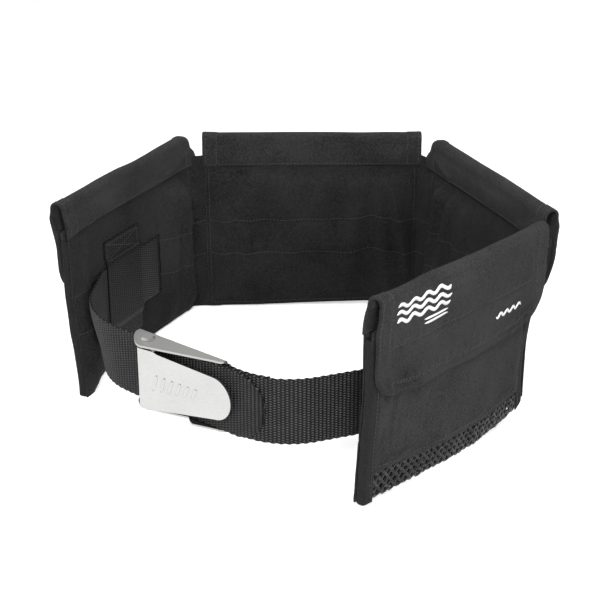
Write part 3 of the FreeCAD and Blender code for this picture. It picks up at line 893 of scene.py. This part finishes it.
def flap_sheet(name):
    """A flap with soft waves, rows that hold its tape, a hem, and ends that flare on some pockets."""
    rows, run = flap_profile()
    border = np.linspace(BORDER, 1, 9)[1:]
    shares = np.concatenate([-border[::-1], np.linspace(-BORDER, BORDER, 65), border])
    y = np.repeat(rows[None, :, 0], len(shares), axis=0)
    z = np.repeat(rows[None, :, 1], len(shares), axis=0)
    drop = np.where(rows[:, 0] == FLAP_Y, np.maximum(FLAP_BOTTOM + FLAP_CORNER - rows[:, 1], 0.0), 0.0)
    half = HALF - FLAP_CORNER + np.sqrt(np.maximum(FLAP_CORNER ** 2 - drop ** 2, 0.0))
    x = shares[:, None] * half[None, :]
    seed = 300 + 20 * POCKETS.index(name)
    outside = smooth((y - 2.0) / 6.0)
    hanging = outside * smooth((FOLD_Z - z) / 10)
    tape = bell(z, 107.0, 17.0) * smooth((80 - np.abs(x)) / 6)
    soft = (1 - tape) * hanging
    y = y + soft * (2.1 * folds(x, z, 34.0, seed) + 1.0)
    y = y + 0.3 * hanging * folds(x, z, 11.0, seed + 1)
    z = z + smooth((z - 140) / 15) * (0.7 * folds(x, 0.0, 50.0, seed + 2))
    y = y + smooth((z - 140) / 15) * 0.5 * folds(x, 0.0, 42.0, seed + 3)
    for row in TAPE_ROWS:
        valley = bell(z, row, 1.7) * hanging * smooth((79 - np.abs(x)) / 2)
        y = y - 1.0 * valley
        pucker = np.sin(x * 0.8 + 4.0 * soft_noise(x, 0.0, 18.0, seed + 4))
        pucker *= 0.5 + 0.5 * soft_noise(x, row, 30.0, seed + 5)
        y = y + 0.42 * pucker * bell(z, row + 3.5, 4.5) * hanging
    z = z - 4.0 * outside * smooth((112 - z) / 24) * smooth((84 - np.abs(x)) / 30)
    inside = (1 - outside) * smooth((152 - z) / 6)
    y = y - inside * (1.1 + 1.1 * folds(x, z, 40.0, seed + 8)) * smooth((z - HEM_Z - 1) / 6)
    crease = z - HEM_Z - 3.0 - 12.0 * np.clip((np.abs(x) - 52) / 30, 0, 2) ** 2
    ends = smooth((np.abs(x) - 50) / 8) * smooth((84 - np.abs(x)) / 4)
    y = y - inside * 1.5 * bell(crease, 0.0, 2.6) * ends
    if name in FLARED:
        side = FLARED[name]
        reach = smooth((side * x - 66) / 27)
        x = x + side * 8.0 * reach * smooth((157 - z) / 20) * (1 - outside)
        z = z - 3.0 * smooth((side * x - 80) / 14) ** 2 * smooth((z - 142) / 12)
    mid = np.stack([x, y, z], axis=-1)
    hem = 1 - smooth((half[None, :] * (1 - np.abs(shares[:, None])) - 11.0) / 0.8)
    hem = np.maximum(hem, (1 - smooth((z - FLAP_BOTTOM - 8.5) / 1.2)) * outside)
    thick = 1.15 + 0.9 * hem
    return Sheet(shares * HALF, run, put(name, mid), thick)


def flap_piece(obj, name, *nodes):
    """Cloth that crosses a flap's fold: bakes its place into its mesh and hides the CAD nodes it stands for.
    """
    start, end = PLACE[name].point(0, *LID_START), PLACE[name].point(0, *LID_END)
    crossing_piece(obj, name + "_pocket", name + "_lid", start, end, "pack_cloth", *nodes)


def build_flaps():
    """Flaps are drawn closed."""
    sheets = {}
    for name in POCKETS:
        sheet = sheets[name] = flap_sheet(name)
        # Flaps take the cloth painted lighter: painted light.
        obj = slab(name + "_painted_lit_cloth", sheet, PAINTED_LIT_CLOTH)
        flap_piece(obj, name, name + "_flap", name + "_flap_root")
    return sheets


# Tapes and net

TAPE_SPAN = (-78, 78)
NET_PITCH, NET_ROWS = 5.7, 6
NET_PATH = np.array([(6.1, NET_TOP + 3.5), (6.3, 8.0), (6.0, 3.2), (4.8, 1.0), (2.6, 0.6), (1.6, 0.7)])


def flat_patch(name, y, x_span, z_span, thick, step, seed, rough):
    """A flat strip on a pocket, and random heights for its pile."""
    xs, zs = span(*x_span, step), span(*z_span, step)
    x, z = np.meshgrid(xs, zs, indexing="ij")
    bumps = np.random.RandomState(seed).uniform(-rough, rough, x.shape)
    mid = np.stack([x, np.full_like(x, y), z], axis=-1)
    return Sheet(xs, zs, put(name, mid), thick), bumps


def build_tapes():
    for name in POCKETS:
        number = POCKETS.index(name)
        sheet, bumps = flat_patch(name, 7.2, TAPE_SPAN, (93, 121), 0.6, 1.6, 500 + number, 0.16)
        obj = slab(name + "_loop_pile", sheet, LOOP, back=bumps, front=bumps)
        piece(obj, name + "_pocket", "hook_and_loop", name + "_loop_tape")
        sheet, bumps = flat_patch(name, 8.3, TAPE_SPAN, (94, 120), 0.55, 1.3, 520 + number, 0.2)
        obj = slab(name + "_hook_pile", sheet, HOOK, back=bumps, front=bumps)
        piece(obj, name + "_lid", "hook_and_loop", name + "_hook_tape")


def build_net():
    """Knotted net: zigzag strands that touch at their corners, round the pocket's lower edge."""
    lengths = run_along(NET_PATH)
    total = lengths[-1]
    for name in POCKETS:
        seed = 600 + POCKETS.index(name)
        parts = []
        for row in range(NET_ROWS + 1):
            x = np.arange(-90.0, 90.01, 0.8)
            phase = (x / NET_PITCH + 0.5 * (row % 2)) * 2 * math.pi
            zig = 2 / math.pi * np.arcsin(np.sin(phase) * 0.96)
            wander = 0.5 * soft_noise(x, row, 9.0, seed)
            run = np.clip(row * total / NET_ROWS + zig * total / NET_ROWS * 0.5 + wander, 0, total)
            y, z = np.interp(run, lengths, NET_PATH[:, 0]), np.interp(run, lengths, NET_PATH[:, 1])
            x = x + 0.8 * soft_noise(x, row * 7, 8.0, seed + 9)
            y = y + 0.9 * soft_noise(x, row * 3, 5.0, seed + 5)
            z = z + 0.5 * soft_noise(x, row * 5, 4.0, seed + 8)
            width = 1.15 + 0.45 * np.abs(zig) ** 3 + 0.15 * soft_noise(x, row, 3.0, seed + 30)
            line = put(name, np.stack([x, y, z], axis=-1))
            parts.append(tube(line, width, 6, np.tile(PLACE[name].y, (len(x), 1)), 0.75))
        obj = joined_mesh(name + "_net", parts, NET)
        piece(obj, name + "_pocket", "net", name + "_drain_mesh")


# Webbing

def rounded_path(points, radii, step):
    """Evenly stepped plan points along straights and rounded corners."""
    out = [points[0]]
    for index in range(1, len(points) - 1):
        before, corner, after = points[index - 1], points[index], points[index + 1]
        back = unit(before - corner)
        ahead = unit(after - corner)
        half = math.acos(float(np.clip(back @ ahead, -1, 1))) / 2
        radius = radii[index - 1]
        centre = corner + unit(back + ahead) * radius / math.sin(half)
        first = corner + back * radius / math.tan(half)
        last = corner + ahead * radius / math.tan(half)
        a0 = math.atan2(*(first - centre)[1::-1])
        a1 = math.atan2(*(last - centre)[1::-1])
        sweep = (a1 - a0 + math.pi) % (2 * math.pi) - math.pi
        count = max(6, int(abs(sweep) * radius / step))
        for k in range(count + 1):
            a = a0 + sweep * k / count
            out.append(centre + radius * np.array([math.cos(a), math.sin(a), 0.0]))
    out.append(points[-1])
    out = np.array(out)
    run = run_along(out)
    s = np.arange(0, run[-1], step)
    s = np.append(s, run[-1])
    return np.stack([np.interp(s, run, out[:, k]) for k in range(3)], axis=1), s


def crossing(point_a, turn_a, point_b, turn_b):
    """Where two lines in plan meet, each given by a point and a heading."""
    a, b = heading(turn_a), heading(turn_b)
    gap = point_b - point_a
    return point_a + a * (gap[0] * b[1] - gap[1] * b[0]) / (a[0] * b[1] - a[1] * b[0])


PIN_X, PIN_OUT = 14.4, 8.85
PIVOT = np.array(JOINTS["lever_lift"]["pos_m"]) / MM
BUCKLE_AXIS = heading(BUCKLE_TURN)
BUCKLE_OUT = heading(BUCKLE_TURN - 90)
BUCKLE_ORIGIN = PIVOT - BUCKLE_AXIS * PIN_X - BUCKLE_OUT * PIN_OUT
BUCKLE_ORIGIN[2] = 0.0
INSIDE_Y, FACE_Y = 2.2, -1.7
KINK = {"left": 46.0, "front": 11.0}
TAIL_OUT, RUN_OUT, FOLD_BACK_OUT = 4.5, 2.5, 0.6
RUN_HEADING, RUN_BEND = 19.5, 55.0
LEFT_HEADING, LEFT_RADIUS, KINK_RADIUS = 264.0, 80.0, 12.0
TAIL_TIP_TURN, FOLD_BACK_TURN, END_LENGTH, TIP_CORNER, TIP_TRIM = 23.0, 22.0, 2.0, 23.5, 3.0


def buckle_point(x, out, z=0.0):
    p = BUCKLE_ORIGIN + BUCKLE_AXIS * x + BUCKLE_OUT * out
    return p + np.array([0, 0, z])


def strap_on_pocket(name):
    """Plan points of a strap: inside its pocket, through the slot and across the inner face."""
    side = STRAPPED[name]
    place = PLACE[name]
    return [place.point(side * 91.8, INSIDE_Y), place.point(side * (90 - KINK[name]), INSIDE_Y),
            place.point(side * (80 - KINK[name]), FACE_Y), place.point(-side * KINK[name], FACE_Y)]


def run_bend():
    kink = PLACE["front"].point(-STRAPPED["front"] * KINK["front"], FACE_Y)
    return crossing(buckle_point(0, RUN_OUT), BUCKLE_TURN, kink, RUN_HEADING)


def ending_round_bend(out, turn):
    """Corner and end of webbing that stops part of the way round the fixed strap's bend."""
    full = RUN_BEND * math.tan(math.radians(RUN_HEADING - BUCKLE_TURN) / 2)
    start = np.linalg.norm(run_bend() - buckle_point(0, RUN_OUT)) - full
    reach = (RUN_BEND + out - RUN_OUT) * math.tan(math.radians(turn) / 2)
    corner = buckle_point(start + reach, out)
    return corner, corner + heading(BUCKLE_TURN + turn) * (reach + END_LENGTH)


def tail_path():
    corner, tip = ending_round_bend(TAIL_OUT, TAIL_TIP_TURN)
    points = strap_on_pocket("left")
    turn = crossing(points[-1], LEFT_HEADING, buckle_point(0, TAIL_OUT), BUCKLE_TURN)
    return points + [turn, corner, tip], [4, 4, KINK_RADIUS, LEFT_RADIUS, RUN_BEND + TAIL_OUT - RUN_OUT]


def run_path():
    fold_corner, fold_end = ending_round_bend(FOLD_BACK_OUT, FOLD_BACK_TURN)
    radius = RUN_OUT - 0.75
    turn_x = 75.0 - radius
    back_out = 0.75 - radius
    points = [fold_end, fold_corner, buckle_point(88.0, FOLD_BACK_OUT), buckle_point(82.0, back_out),
              buckle_point(turn_x, back_out), buckle_point(turn_x, RUN_OUT), run_bend()]
    points += list(reversed(strap_on_pocket("front")))
    radii = [RUN_BEND + FOLD_BACK_OUT - RUN_OUT, 3, 3, radius - 0.01, radius - 0.01, RUN_BEND,
             KINK_RADIUS, 4, 4]
    return points, radii


LEAN_REACH, LEAN_AT, LEAN_LENGTH = 7.5, 200.0, 36.0    # of the free strap's lower edge, off its path
TURN_REACH = 14.0              # length of strap on each side of its turn


def weave_relief(s, z, seed):
    """Raised floats of a coarse weave in columns across the webbing, offset like bricks."""
    column = np.floor(s / WEAVE_LONG)
    along = np.abs(np.sin(s / WEAVE_LONG * math.pi)) ** 0.6
    across = np.abs(np.sin((z / WEAVE_WIDE + 0.5 * column) * math.pi))
    wear = 0.85 + 0.15 * soft_noise(s, z, 6.0, seed)
    return (0.34 * across * along - 0.12) * wear


def strap_length(path, radii):
    return rounded_path(path, radii, 1.0)[1][-1]


def strap_sheet(path, radii, lean=None, tip=False, step=0.5, sewn_to=None):
    plan, s = rounded_path(path, radii, step)
    shares = np.linspace(-1, 1, 103)
    half = np.full(len(s), WEB_HALF)
    if tip:
        keep = s < s[-1] - TIP_TRIM
        plan, s, half = plan[keep], s[keep], half[keep]
        over = np.clip(s - (s[-1] - TIP_CORNER), 0, TIP_CORNER)
        half = WEB_HALF - TIP_CORNER + np.sqrt(np.maximum(TIP_CORNER ** 2 - over ** 2, 1.0))
    tooth = 0.32 * np.cos(s / WEAVE_LONG * math.pi)
    z = WEB_MID + shares[None, :] * (half + tooth)[:, None]
    mid = np.repeat(plan[:, None, :], len(shares), axis=1)
    mid[..., 2] = z
    if lean is not None:
        tangent = unit(np.gradient(plan, axis=0))
        normal = np.stack([-tangent[:, 1], tangent[:, 0], np.zeros(len(s))], axis=1)
        low = smooth((WEB_HIGH - z) / 50.0)
        mid = mid + normal[:, None, :] * (lean(s)[:, None] * low)[..., None]
    if sewn_to is not None:
        name, share = sewn_to
        local = PLACE[name].local(mid)
        move = put(name, local) - PLACE[name].world(local)
        mid = mid + move * share(s)[:, None, None]
    edge = 0.75 + 0.25 * smooth((1 - np.abs(shares)) / 0.06)
    thick = np.repeat((WEB_THICK * edge)[None, :], len(s), axis=0)
    return Sheet(s, shares * WEB_HALF, mid, thick - 0.2)


def strap_piece(name, sheet, seed):
    u, v = np.meshgrid(sheet.us, sheet.vs, indexing="ij")
    front = weave_relief(u, v, seed)
    back = weave_relief(u + WEAVE_LONG / 2, v, seed + 1)
    return slab(name, sheet, WEBBING, front=front, back=back, rim=0.3)


def joint_point(name):
    p = np.array(JOINTS[name]["pos_m"]) / MM
    p[2] = 0.0
    return p


def build_free_end():
    def lean(s):
        return LEAN_REACH * bell(s, LEAN_AT, LEAN_LENGTH)

    def on_pocket(s):
        return smooth((150 - s) / 40)

    points, radii = tail_path()
    sheet = strap_sheet(points, radii, lean, tip=True, sewn_to=("left", on_pocket))
    obj = strap_piece("strap_free_end", sheet, 700)
    turn = joint_point("strap_turn")
    reach = heading((LEFT_HEADING + 360 + BUCKLE_TURN) / 2) * TURN_REACH
    crossing_piece(obj, "left_pocket", "free_end", turn - reach, turn + reach, "webbing",
                   "strap_left_root", "strap_tail")


def build_buckle_end():
    def on_pocket(s):
        return smooth((s - end + 115) / 30)

    points, radii = run_path()
    end = strap_length(points, radii)
    obj = strap_piece("strap_buckle_end", strap_sheet(points, radii, sewn_to=("front", on_pocket)), 710)
    turn = joint_point("run_turn")
    along = heading(RUN_HEADING + 10)
    crossing_piece(obj, "front_pocket", "buckle_end", turn + along * 6, turn - along * TURN_REACH, "webbing",
                   "strap_front_root", "strap_run")


CORE_Y = 3.4


def build_core_webbing():
    """Webbing sewn into the two pockets that carry no loose end."""
    us, vs = span(-91.8, 91.8, 0.9), span(-WEB_HALF, WEB_HALF, 0.6)
    x, z = np.meshgrid(us, vs, indexing="ij")
    for name in ("rear", "right"):
        mid = np.stack([x, np.full_like(x, CORE_Y), z + WEB_MID], axis=-1)
        obj = strap_piece(name + "_core_band", Sheet(us, vs, put(name, mid), WEB_THICK - 0.3), 720)
        piece(obj, name + "_pocket", "webbing", name + "_core_webbing")


KINK_TO_KEEPER, KEEPER_WIDTH, KEEPER_Z = 5.0, 49.0, (16.0, 110.0)


def keeper_sheet(name):
    side = STRAPPED[name]
    near = KINK_TO_KEEPER - KINK[name]
    x_span = sorted((side * near, side * (near + KEEPER_WIDTH)))
    xs, zs = span(*x_span, 0.5), span(*KEEPER_Z, 0.5)
    x, z = np.meshgrid(xs, zs, indexing="ij")
    lift = smooth((z - 29) / 8) * smooth((97 - z) / 8)
    y = -0.95 - 2.2 * lift
    return Sheet(xs, zs, put(name, np.stack([x, y, z], axis=-1)), 1.2)


def build_keepers():
    sheets = {}
    for name in STRAPPED:
        sheet = sheets[name] = keeper_sheet(name)
        u, v = np.meshgrid(sheet.us, sheet.vs, indexing="ij")
        relief = weave_relief(v, u, 730)
        # The keeper takes the webbing painted darker: painted shade.
        obj = slab(name + "_keeper_band", sheet, KEEPER_WEBBING_PAINTED_SHADE, front=relief, back=relief, rim=0.35)
        piece(obj, name + "_pocket", "webbing", name + "_keeper")
    return sheets


# Seams between pockets

SEAM_TOP = 147.0
SEAM_IN = 1              # the side of a seam's sheet that faces the wearer
SEAM_BEND = 7.0          # from the hinge to where the cloth is straight again


def build_seams():
    for first, second in (("left", "rear"), ("rear", "right"), ("right", "front")):
        a = [PLACE[first].point(x, y) for x, y in ((84.0, -1.2), (88.0, -1.2), (92.6, -0.8))]
        b = [PLACE[second].point(x, y) for x, y in ((-92.6, -0.8), (-91.0, -1.2), (-89.0, -1.2))]
        corners = np.array(a + b)
        t = np.linspace(0, len(corners) - 1, 26)
        plan = np.stack([np.interp(t, np.arange(len(corners)), corners[:, k]) for k in range(3)], axis=1)
        for _ in range(6):
            plan[1:-1] = (plan[:-2] + plan[1:-1] * 2 + plan[2:]) / 4
        zs = span(0.0, SEAM_TOP, 2.5)
        mid = np.repeat(plan[:, None, :], len(zs), axis=1)
        mid[..., 2] = zs[None, :]
        run = run_along(plan)
        inward = -(PLACE[first].y + PLACE[second].y) / 2
        wave = 0.5 * folds(mid[..., 2], run[:, None], 22.0, 800)
        centre = np.sin(np.linspace(0, math.pi, len(run)))[:, None]
        mid = mid + inward * (wave * centre)[..., None]
        mid = mid - inward * (2.2 * smooth((mid[..., 2] - 127) / 6))[..., None]
        mid[..., 2] -= centre * 6.0 * smooth((mid[..., 2] - 115) / 25)
        nearness = smooth(np.linspace(0, 1, len(run)))
        for name, x, near in ((first, HALF, 1 - nearness), (second, -HALF, nearness)):
            edge = np.stack([np.full(len(zs), x), np.zeros(len(zs)), zs], axis=-1)
            mid = mid + near[:, None, None] * (put(name, edge) - PLACE[name].world(edge))[None]
        sheet = Sheet(run, zs, mid, 1.0)
        obj = slab("seam_cloth_" + first + "_" + second, sheet, CLOTH)
        hinge = (PLACE[first].point(HALF, 0) + PLACE[second].point(-HALF, 0)) / 2
        bend = unit(plan[-1] - plan[0]) * SEAM_BEND
        crossing_piece(obj, first + "_pocket", second + "_pocket", hinge - bend, hinge + bend,
                       "pack_cloth", "seam_" + first + "_" + second)
        parts = []
        for row in SEAM_ROWS:
            ends = [row + float(seam_wave(name, x, row)) for name, x in ((first, 92.0), (second, -92.0))]
            parts += stitch_row(sheet, [2.0, run[-1] - 2.0], ends, SEAM_IN)
        obj = joined_mesh("seam_stitching_" + first + "_" + second, parts, THREAD)
        crossing_piece(obj, first + "_pocket", second + "_pocket", hinge - bend, hinge + bend, "pack_cloth")


# Stitching

FLAP_OUT = BINDING_OUT = 1       # the side of a flap's and a binding's sheet that faces out
SEWN_ENDS = (("left", 1), ("rear", -1), ("rear", 1), ("right", -1), ("right", 1), ("front", -1))


def row_on(sheet, x_span, z, side, name=None, **extra):
    xs = np.linspace(*x_span, 40)
    zs = np.full(40, float(z))
    if name is not None:
        zs = zs + seam_wave(name, xs, z)
    return stitch_row(sheet, xs, zs, side, **extra)


def panel_stitches(name, inner, outer):
    parts = []
    for z in SEAM_ROWS:
        parts += row_on(inner, (-92, 92), z, 1, name)
    parts += row_on(inner, (-91, 91), 3.4, 1)
    parts += row_on(outer, (-80, 80), OUTER_TOP - 7.5, -1)
    parts += row_on(outer, (-80, 80), NET_TOP + 4.0, -1)
    return parts


def side_stitches(name, side, binding, inner):
    inset = 2.2
    u = inset if side < 0 else binding.us[-1] - inset
    parts = stitch_row(binding, [u, u], [3, 127], BINDING_OUT)
    if (name, side) in SEWN_ENDS:
        for x in (88.6, 91.4):
            parts += stitch_row(inner, [side * x, side * x], [4, 131], 1, radius=0.3, pitch=2.6)
    return parts


def keeper_stitches(sheet):
    """A box with a cross in it at each end of a keeper."""
    a, b = sheet.us[0] + 2.5, sheet.us[-1] - 2.5
    parts = []
    for low, high in ((18.5, 33.0), (93.0, 107.5)):
        parts += stitch_row(sheet, [a, b, b, a, a], [low, low, high, high, low], 1)
        parts += stitch_row(sheet, [a, b], [low, high], 1)
        parts += stitch_row(sheet, [a, b], [high, low], 1)
    return parts


def flap_stitches(flap):
    parts = stitch_row(flap, [-91, 91], [1.6, 1.6], FLAP_OUT)
    for z in TAPE_ROWS:
        v = flap_run(z)
        parts += stitch_row(flap, [-77, 77], [v, v], FLAP_OUT)
    side_end = flap_run(TOP) + 38.0
    for u in (-81.8, -91.0, 81.8, 91.0):
        parts += stitch_row(flap, [u, u], [1.5, side_end], FLAP_OUT, radius=0.3)
    hem = flap.vs[-1] - 8.0
    return parts + stitch_row(flap, [-84, 84], [hem, hem], FLAP_OUT)


def build_stitches(panels, bindings, flaps, keepers):
    for name in POCKETS:
        inner = panels[name, "inner"]
        parts = panel_stitches(name, inner, panels[name, "outer"])
        for side in (-1, 1):
            parts += side_stitches(name, side, bindings[name, side], inner)
        if name in keepers:
            parts += keeper_stitches(keepers[name])
        piece(joined_mesh(name + "_stitching", parts, THREAD), name + "_pocket", "pack_cloth")
        flap_piece(joined_mesh(name + "_flap_stitching", flap_stitches(flaps[name]), THREAD), name)


# Buckle

def finish_metal():
    for node, material in (("buckle_frame", SATIN), ("buckle_pin", SATIN), ("buckle_lever", POLISHED)):
        obj = frame["nodes"][node]
        obj.data.materials.clear()
        obj.data.materials.append(material)
        bevel = obj.modifiers.new("soft_edges", "BEVEL")
        bevel.width = 0.00035
        bevel.segments = 2
        bevel.limit_method = "ANGLE"
        bevel.angle_limit = math.radians(35)
        bevel.harden_normals = False


# Decoration: plain bars and waves

LEVER_WALL_X, LEVER_BEND_X = 11.85, 77.0       # where the lever's sloping face starts and ends
LEVER_TOP, LEVER_FACE_OUT, LEVER_RISE = 18.8, 8.8, 0.8
BARS, BAR_START, BAR_PITCH, BAR_SLANT = 6, 27.5, 6.6, 1.8


def build_lever_bars():
    """Raised slanted bars pressed into the lever's face."""
    parts = []
    slope = (LEVER_TOP - LEVER_FACE_OUT) / (LEVER_BEND_X - LEVER_WALL_X)
    normal = unit(BUCKLE_OUT + BUCKLE_AXIS * slope)
    shares = np.linspace(-1, 1, 13)
    width = 1.45 * np.sqrt(1 - 0.85 * shares ** 8)
    for number in range(BARS):
        height = 6.5 - 0.5 * number
        line = []
        for share in shares:
            x = BAR_START + BAR_PITCH * number + BAR_SLANT * share
            out = LEVER_TOP - slope * (x - LEVER_WALL_X) + LEVER_RISE
            line.append(buckle_point(x, out, WEB_MID + height * share))
        parts.append(tube(np.array(line), width, 10, np.tile(normal, (13, 1)), 0.42))
    obj = joined_mesh("lever_raised_bars", parts, POLISHED)
    piece(obj, "lever", "polished_steel")


def wave_strand(start, end, z, count, height, length, size):
    """A waved line along a flap: its points and its half width."""
    xs = np.linspace(start, end, count)
    return xs, z + height * np.sin((start - xs) / length * 2 * math.pi), size


def build_motif(flap):
    """Raised white embroidery on the front flap: waves and short bars, no lettering."""
    strands = [wave_strand(76.0, 24.0, z, 90, 1.5, 13.0, 1.35) for z in (150.0, 144.5, 139.0)]
    strands += [(np.linspace(50.0, 25.0, 24), np.full(24, z), 0.9) for z in (133.0, 130.0)]
    strands.append(wave_strand(-33.0, -66.0, 107.0, 50, -1.2, 8.0, 1.1))
    parts = []
    for xs, zs, size in strands:
        p, n, half = flap.at(xs, flap_run(zs))
        step = np.arange(len(xs))
        fade = np.minimum(1, np.minimum(step, step[::-1]) / 3.0)
        ribs = 1 + 0.08 * np.cos(step * math.pi)
        width = size * (0.3 + 0.7 * fade) * ribs
        parts.append(tube(p + n * FLAP_OUT * half, width, 8, n * FLAP_OUT, 0.45))
    obj = joined_mesh("front_flap_embroidery", parts, WHITE_THREAD)
    piece(obj, "front_lid", "pack_cloth")


# Stage

CAMERA = (-0.0195, -1.0231, 0.5422)
CAMERA_PLAN = (0.0157, 0.9999)
CAMERA_PITCH = 24.29
LENS = 87.5
LAMP_TARGET = (0.0, 0.0, 0.08)
WORLD_LIGHT = 0.26
WORLD_MIRRORED = 0.85
FLOOR_BOUNCE = (0.16, 0.16, 0.16)     # what the floor gives back to the part
FLOOR_HALF, FLOOR_Z = 6000.0, -0.6
WHITE = (1.0, 1.0, 1.0)

LAMPS = (("key", (-0.2, -1.55, 1.45), 0.8, 44.0),
         ("front", (0.35, -2.0, 0.55), 0.6, 38.0),
         ("fill", (1.4, -1.0, 0.9), 1.2, 5.0),
         ("top", (0.1, 0.1, 1.9), 1.0, 16.0))


def studio_world():
    """White behind the part, softer where it lights it, and graded from side to side in the metal."""
    n = Nodes(bpy.data.worlds.new("studio"), "Background")
    path = n.add("ShaderNodeLightPath")
    direction = n.add("ShaderNodeTexCoord").outputs["Generated"]
    across = n.add("ShaderNodeSeparateXYZ", {0: direction}).outputs["X"]
    graded = n.spread(across, WORLD_MIRRORED, WORLD_MIRRORED * 0.5, -0.9, 0.3)
    lit = n.spread(path.outputs["Is Glossy Ray"], WORLD_LIGHT, graded)
    return n.finish(Color=WHITE, Strength=n.spread(path.outputs["Is Camera Ray"], lit, 1.0))


def to_euler(aim):
    return Vector(aim).to_track_quat("-Z", "Y").to_euler()


def build_floor():
    n = Nodes(bpy.data.materials.new("pale_floor"))
    speck = n.noise(3.0, 2.0)
    colour = n.ramp(speck, [(0.2, (0.90, 0.90, 0.90)), (0.8, (0.93, 0.93, 0.93))])
    path = n.add("ShaderNodeLightPath")
    seen, mirrored = path.outputs["Is Camera Ray"], path.outputs["Is Glossy Ray"]
    patches = n.plus(n.times(n.noise(9.0, 1.0), 0.5), 0.5)
    glow = n.plus(n.times(seen, 0.4), n.times(mirrored, patches))
    material = n.finish(Base_Color=n.mix(seen, FLOOR_BOUNCE, colour), Roughness=0.9, Specular_IOR_Level=0.0,
                        Emission_Color=WHITE, Emission_Strength=glow)
    corners = np.array([(-1, -1), (1, -1), (1, 1), (-1, 1)]) * FLOOR_HALF
    points = np.column_stack([corners, np.full(4, FLOOR_Z)])
    make_mesh("floor", points, [[0, 1, 2, 3]], material)


def build_lamps():
    for name, place, size, energy in LAMPS:
        light = bpy.data.lights.new(name, "AREA")
        light.size = size
        light.energy = energy
        lamp = bpy.data.objects.new(name, light)
        bpy.context.scene.collection.objects.link(lamp)
        lamp.location = place
        lamp.visible_glossy = False
        lamp.rotation_euler = to_euler(np.array(LAMP_TARGET) - np.array(place))


def build_camera():
    camera = bpy.data.cameras.new("camera")
    camera.lens = LENS
    camera.sensor_width = 36.0
    camera.shift_x = 0.0025
    camera.shift_y = 0.0012
    camera.clip_end = 50.0
    obj = bpy.data.objects.new("camera", camera)
    bpy.context.scene.collection.objects.link(obj)
    obj.location = CAMERA
    pitch = math.radians(CAMERA_PITCH)
    aim = np.array([CAMERA_PLAN[0] * math.cos(pitch), CAMERA_PLAN[1] * math.cos(pitch), -math.sin(pitch)])
    obj.rotation_euler = to_euler(aim)
    bpy.context.scene.camera = obj


def build_stage():
    scene = bpy.context.scene
    scene.view_settings.view_transform = "Standard"
    build_floor()
    scene.world = studio_world()
    build_lamps()
    build_camera()


panels = build_pocket_panels()
bindings = build_bindings()
flaps = build_flaps()
build_tapes()
build_net()
build_free_end()
build_buckle_end()
build_core_webbing()
keepers = build_keepers()
build_seams()
build_stitches(panels, bindings, flaps, keepers)
finish_metal()
build_lever_bars()
build_motif(flaps["front"])
build_stage()
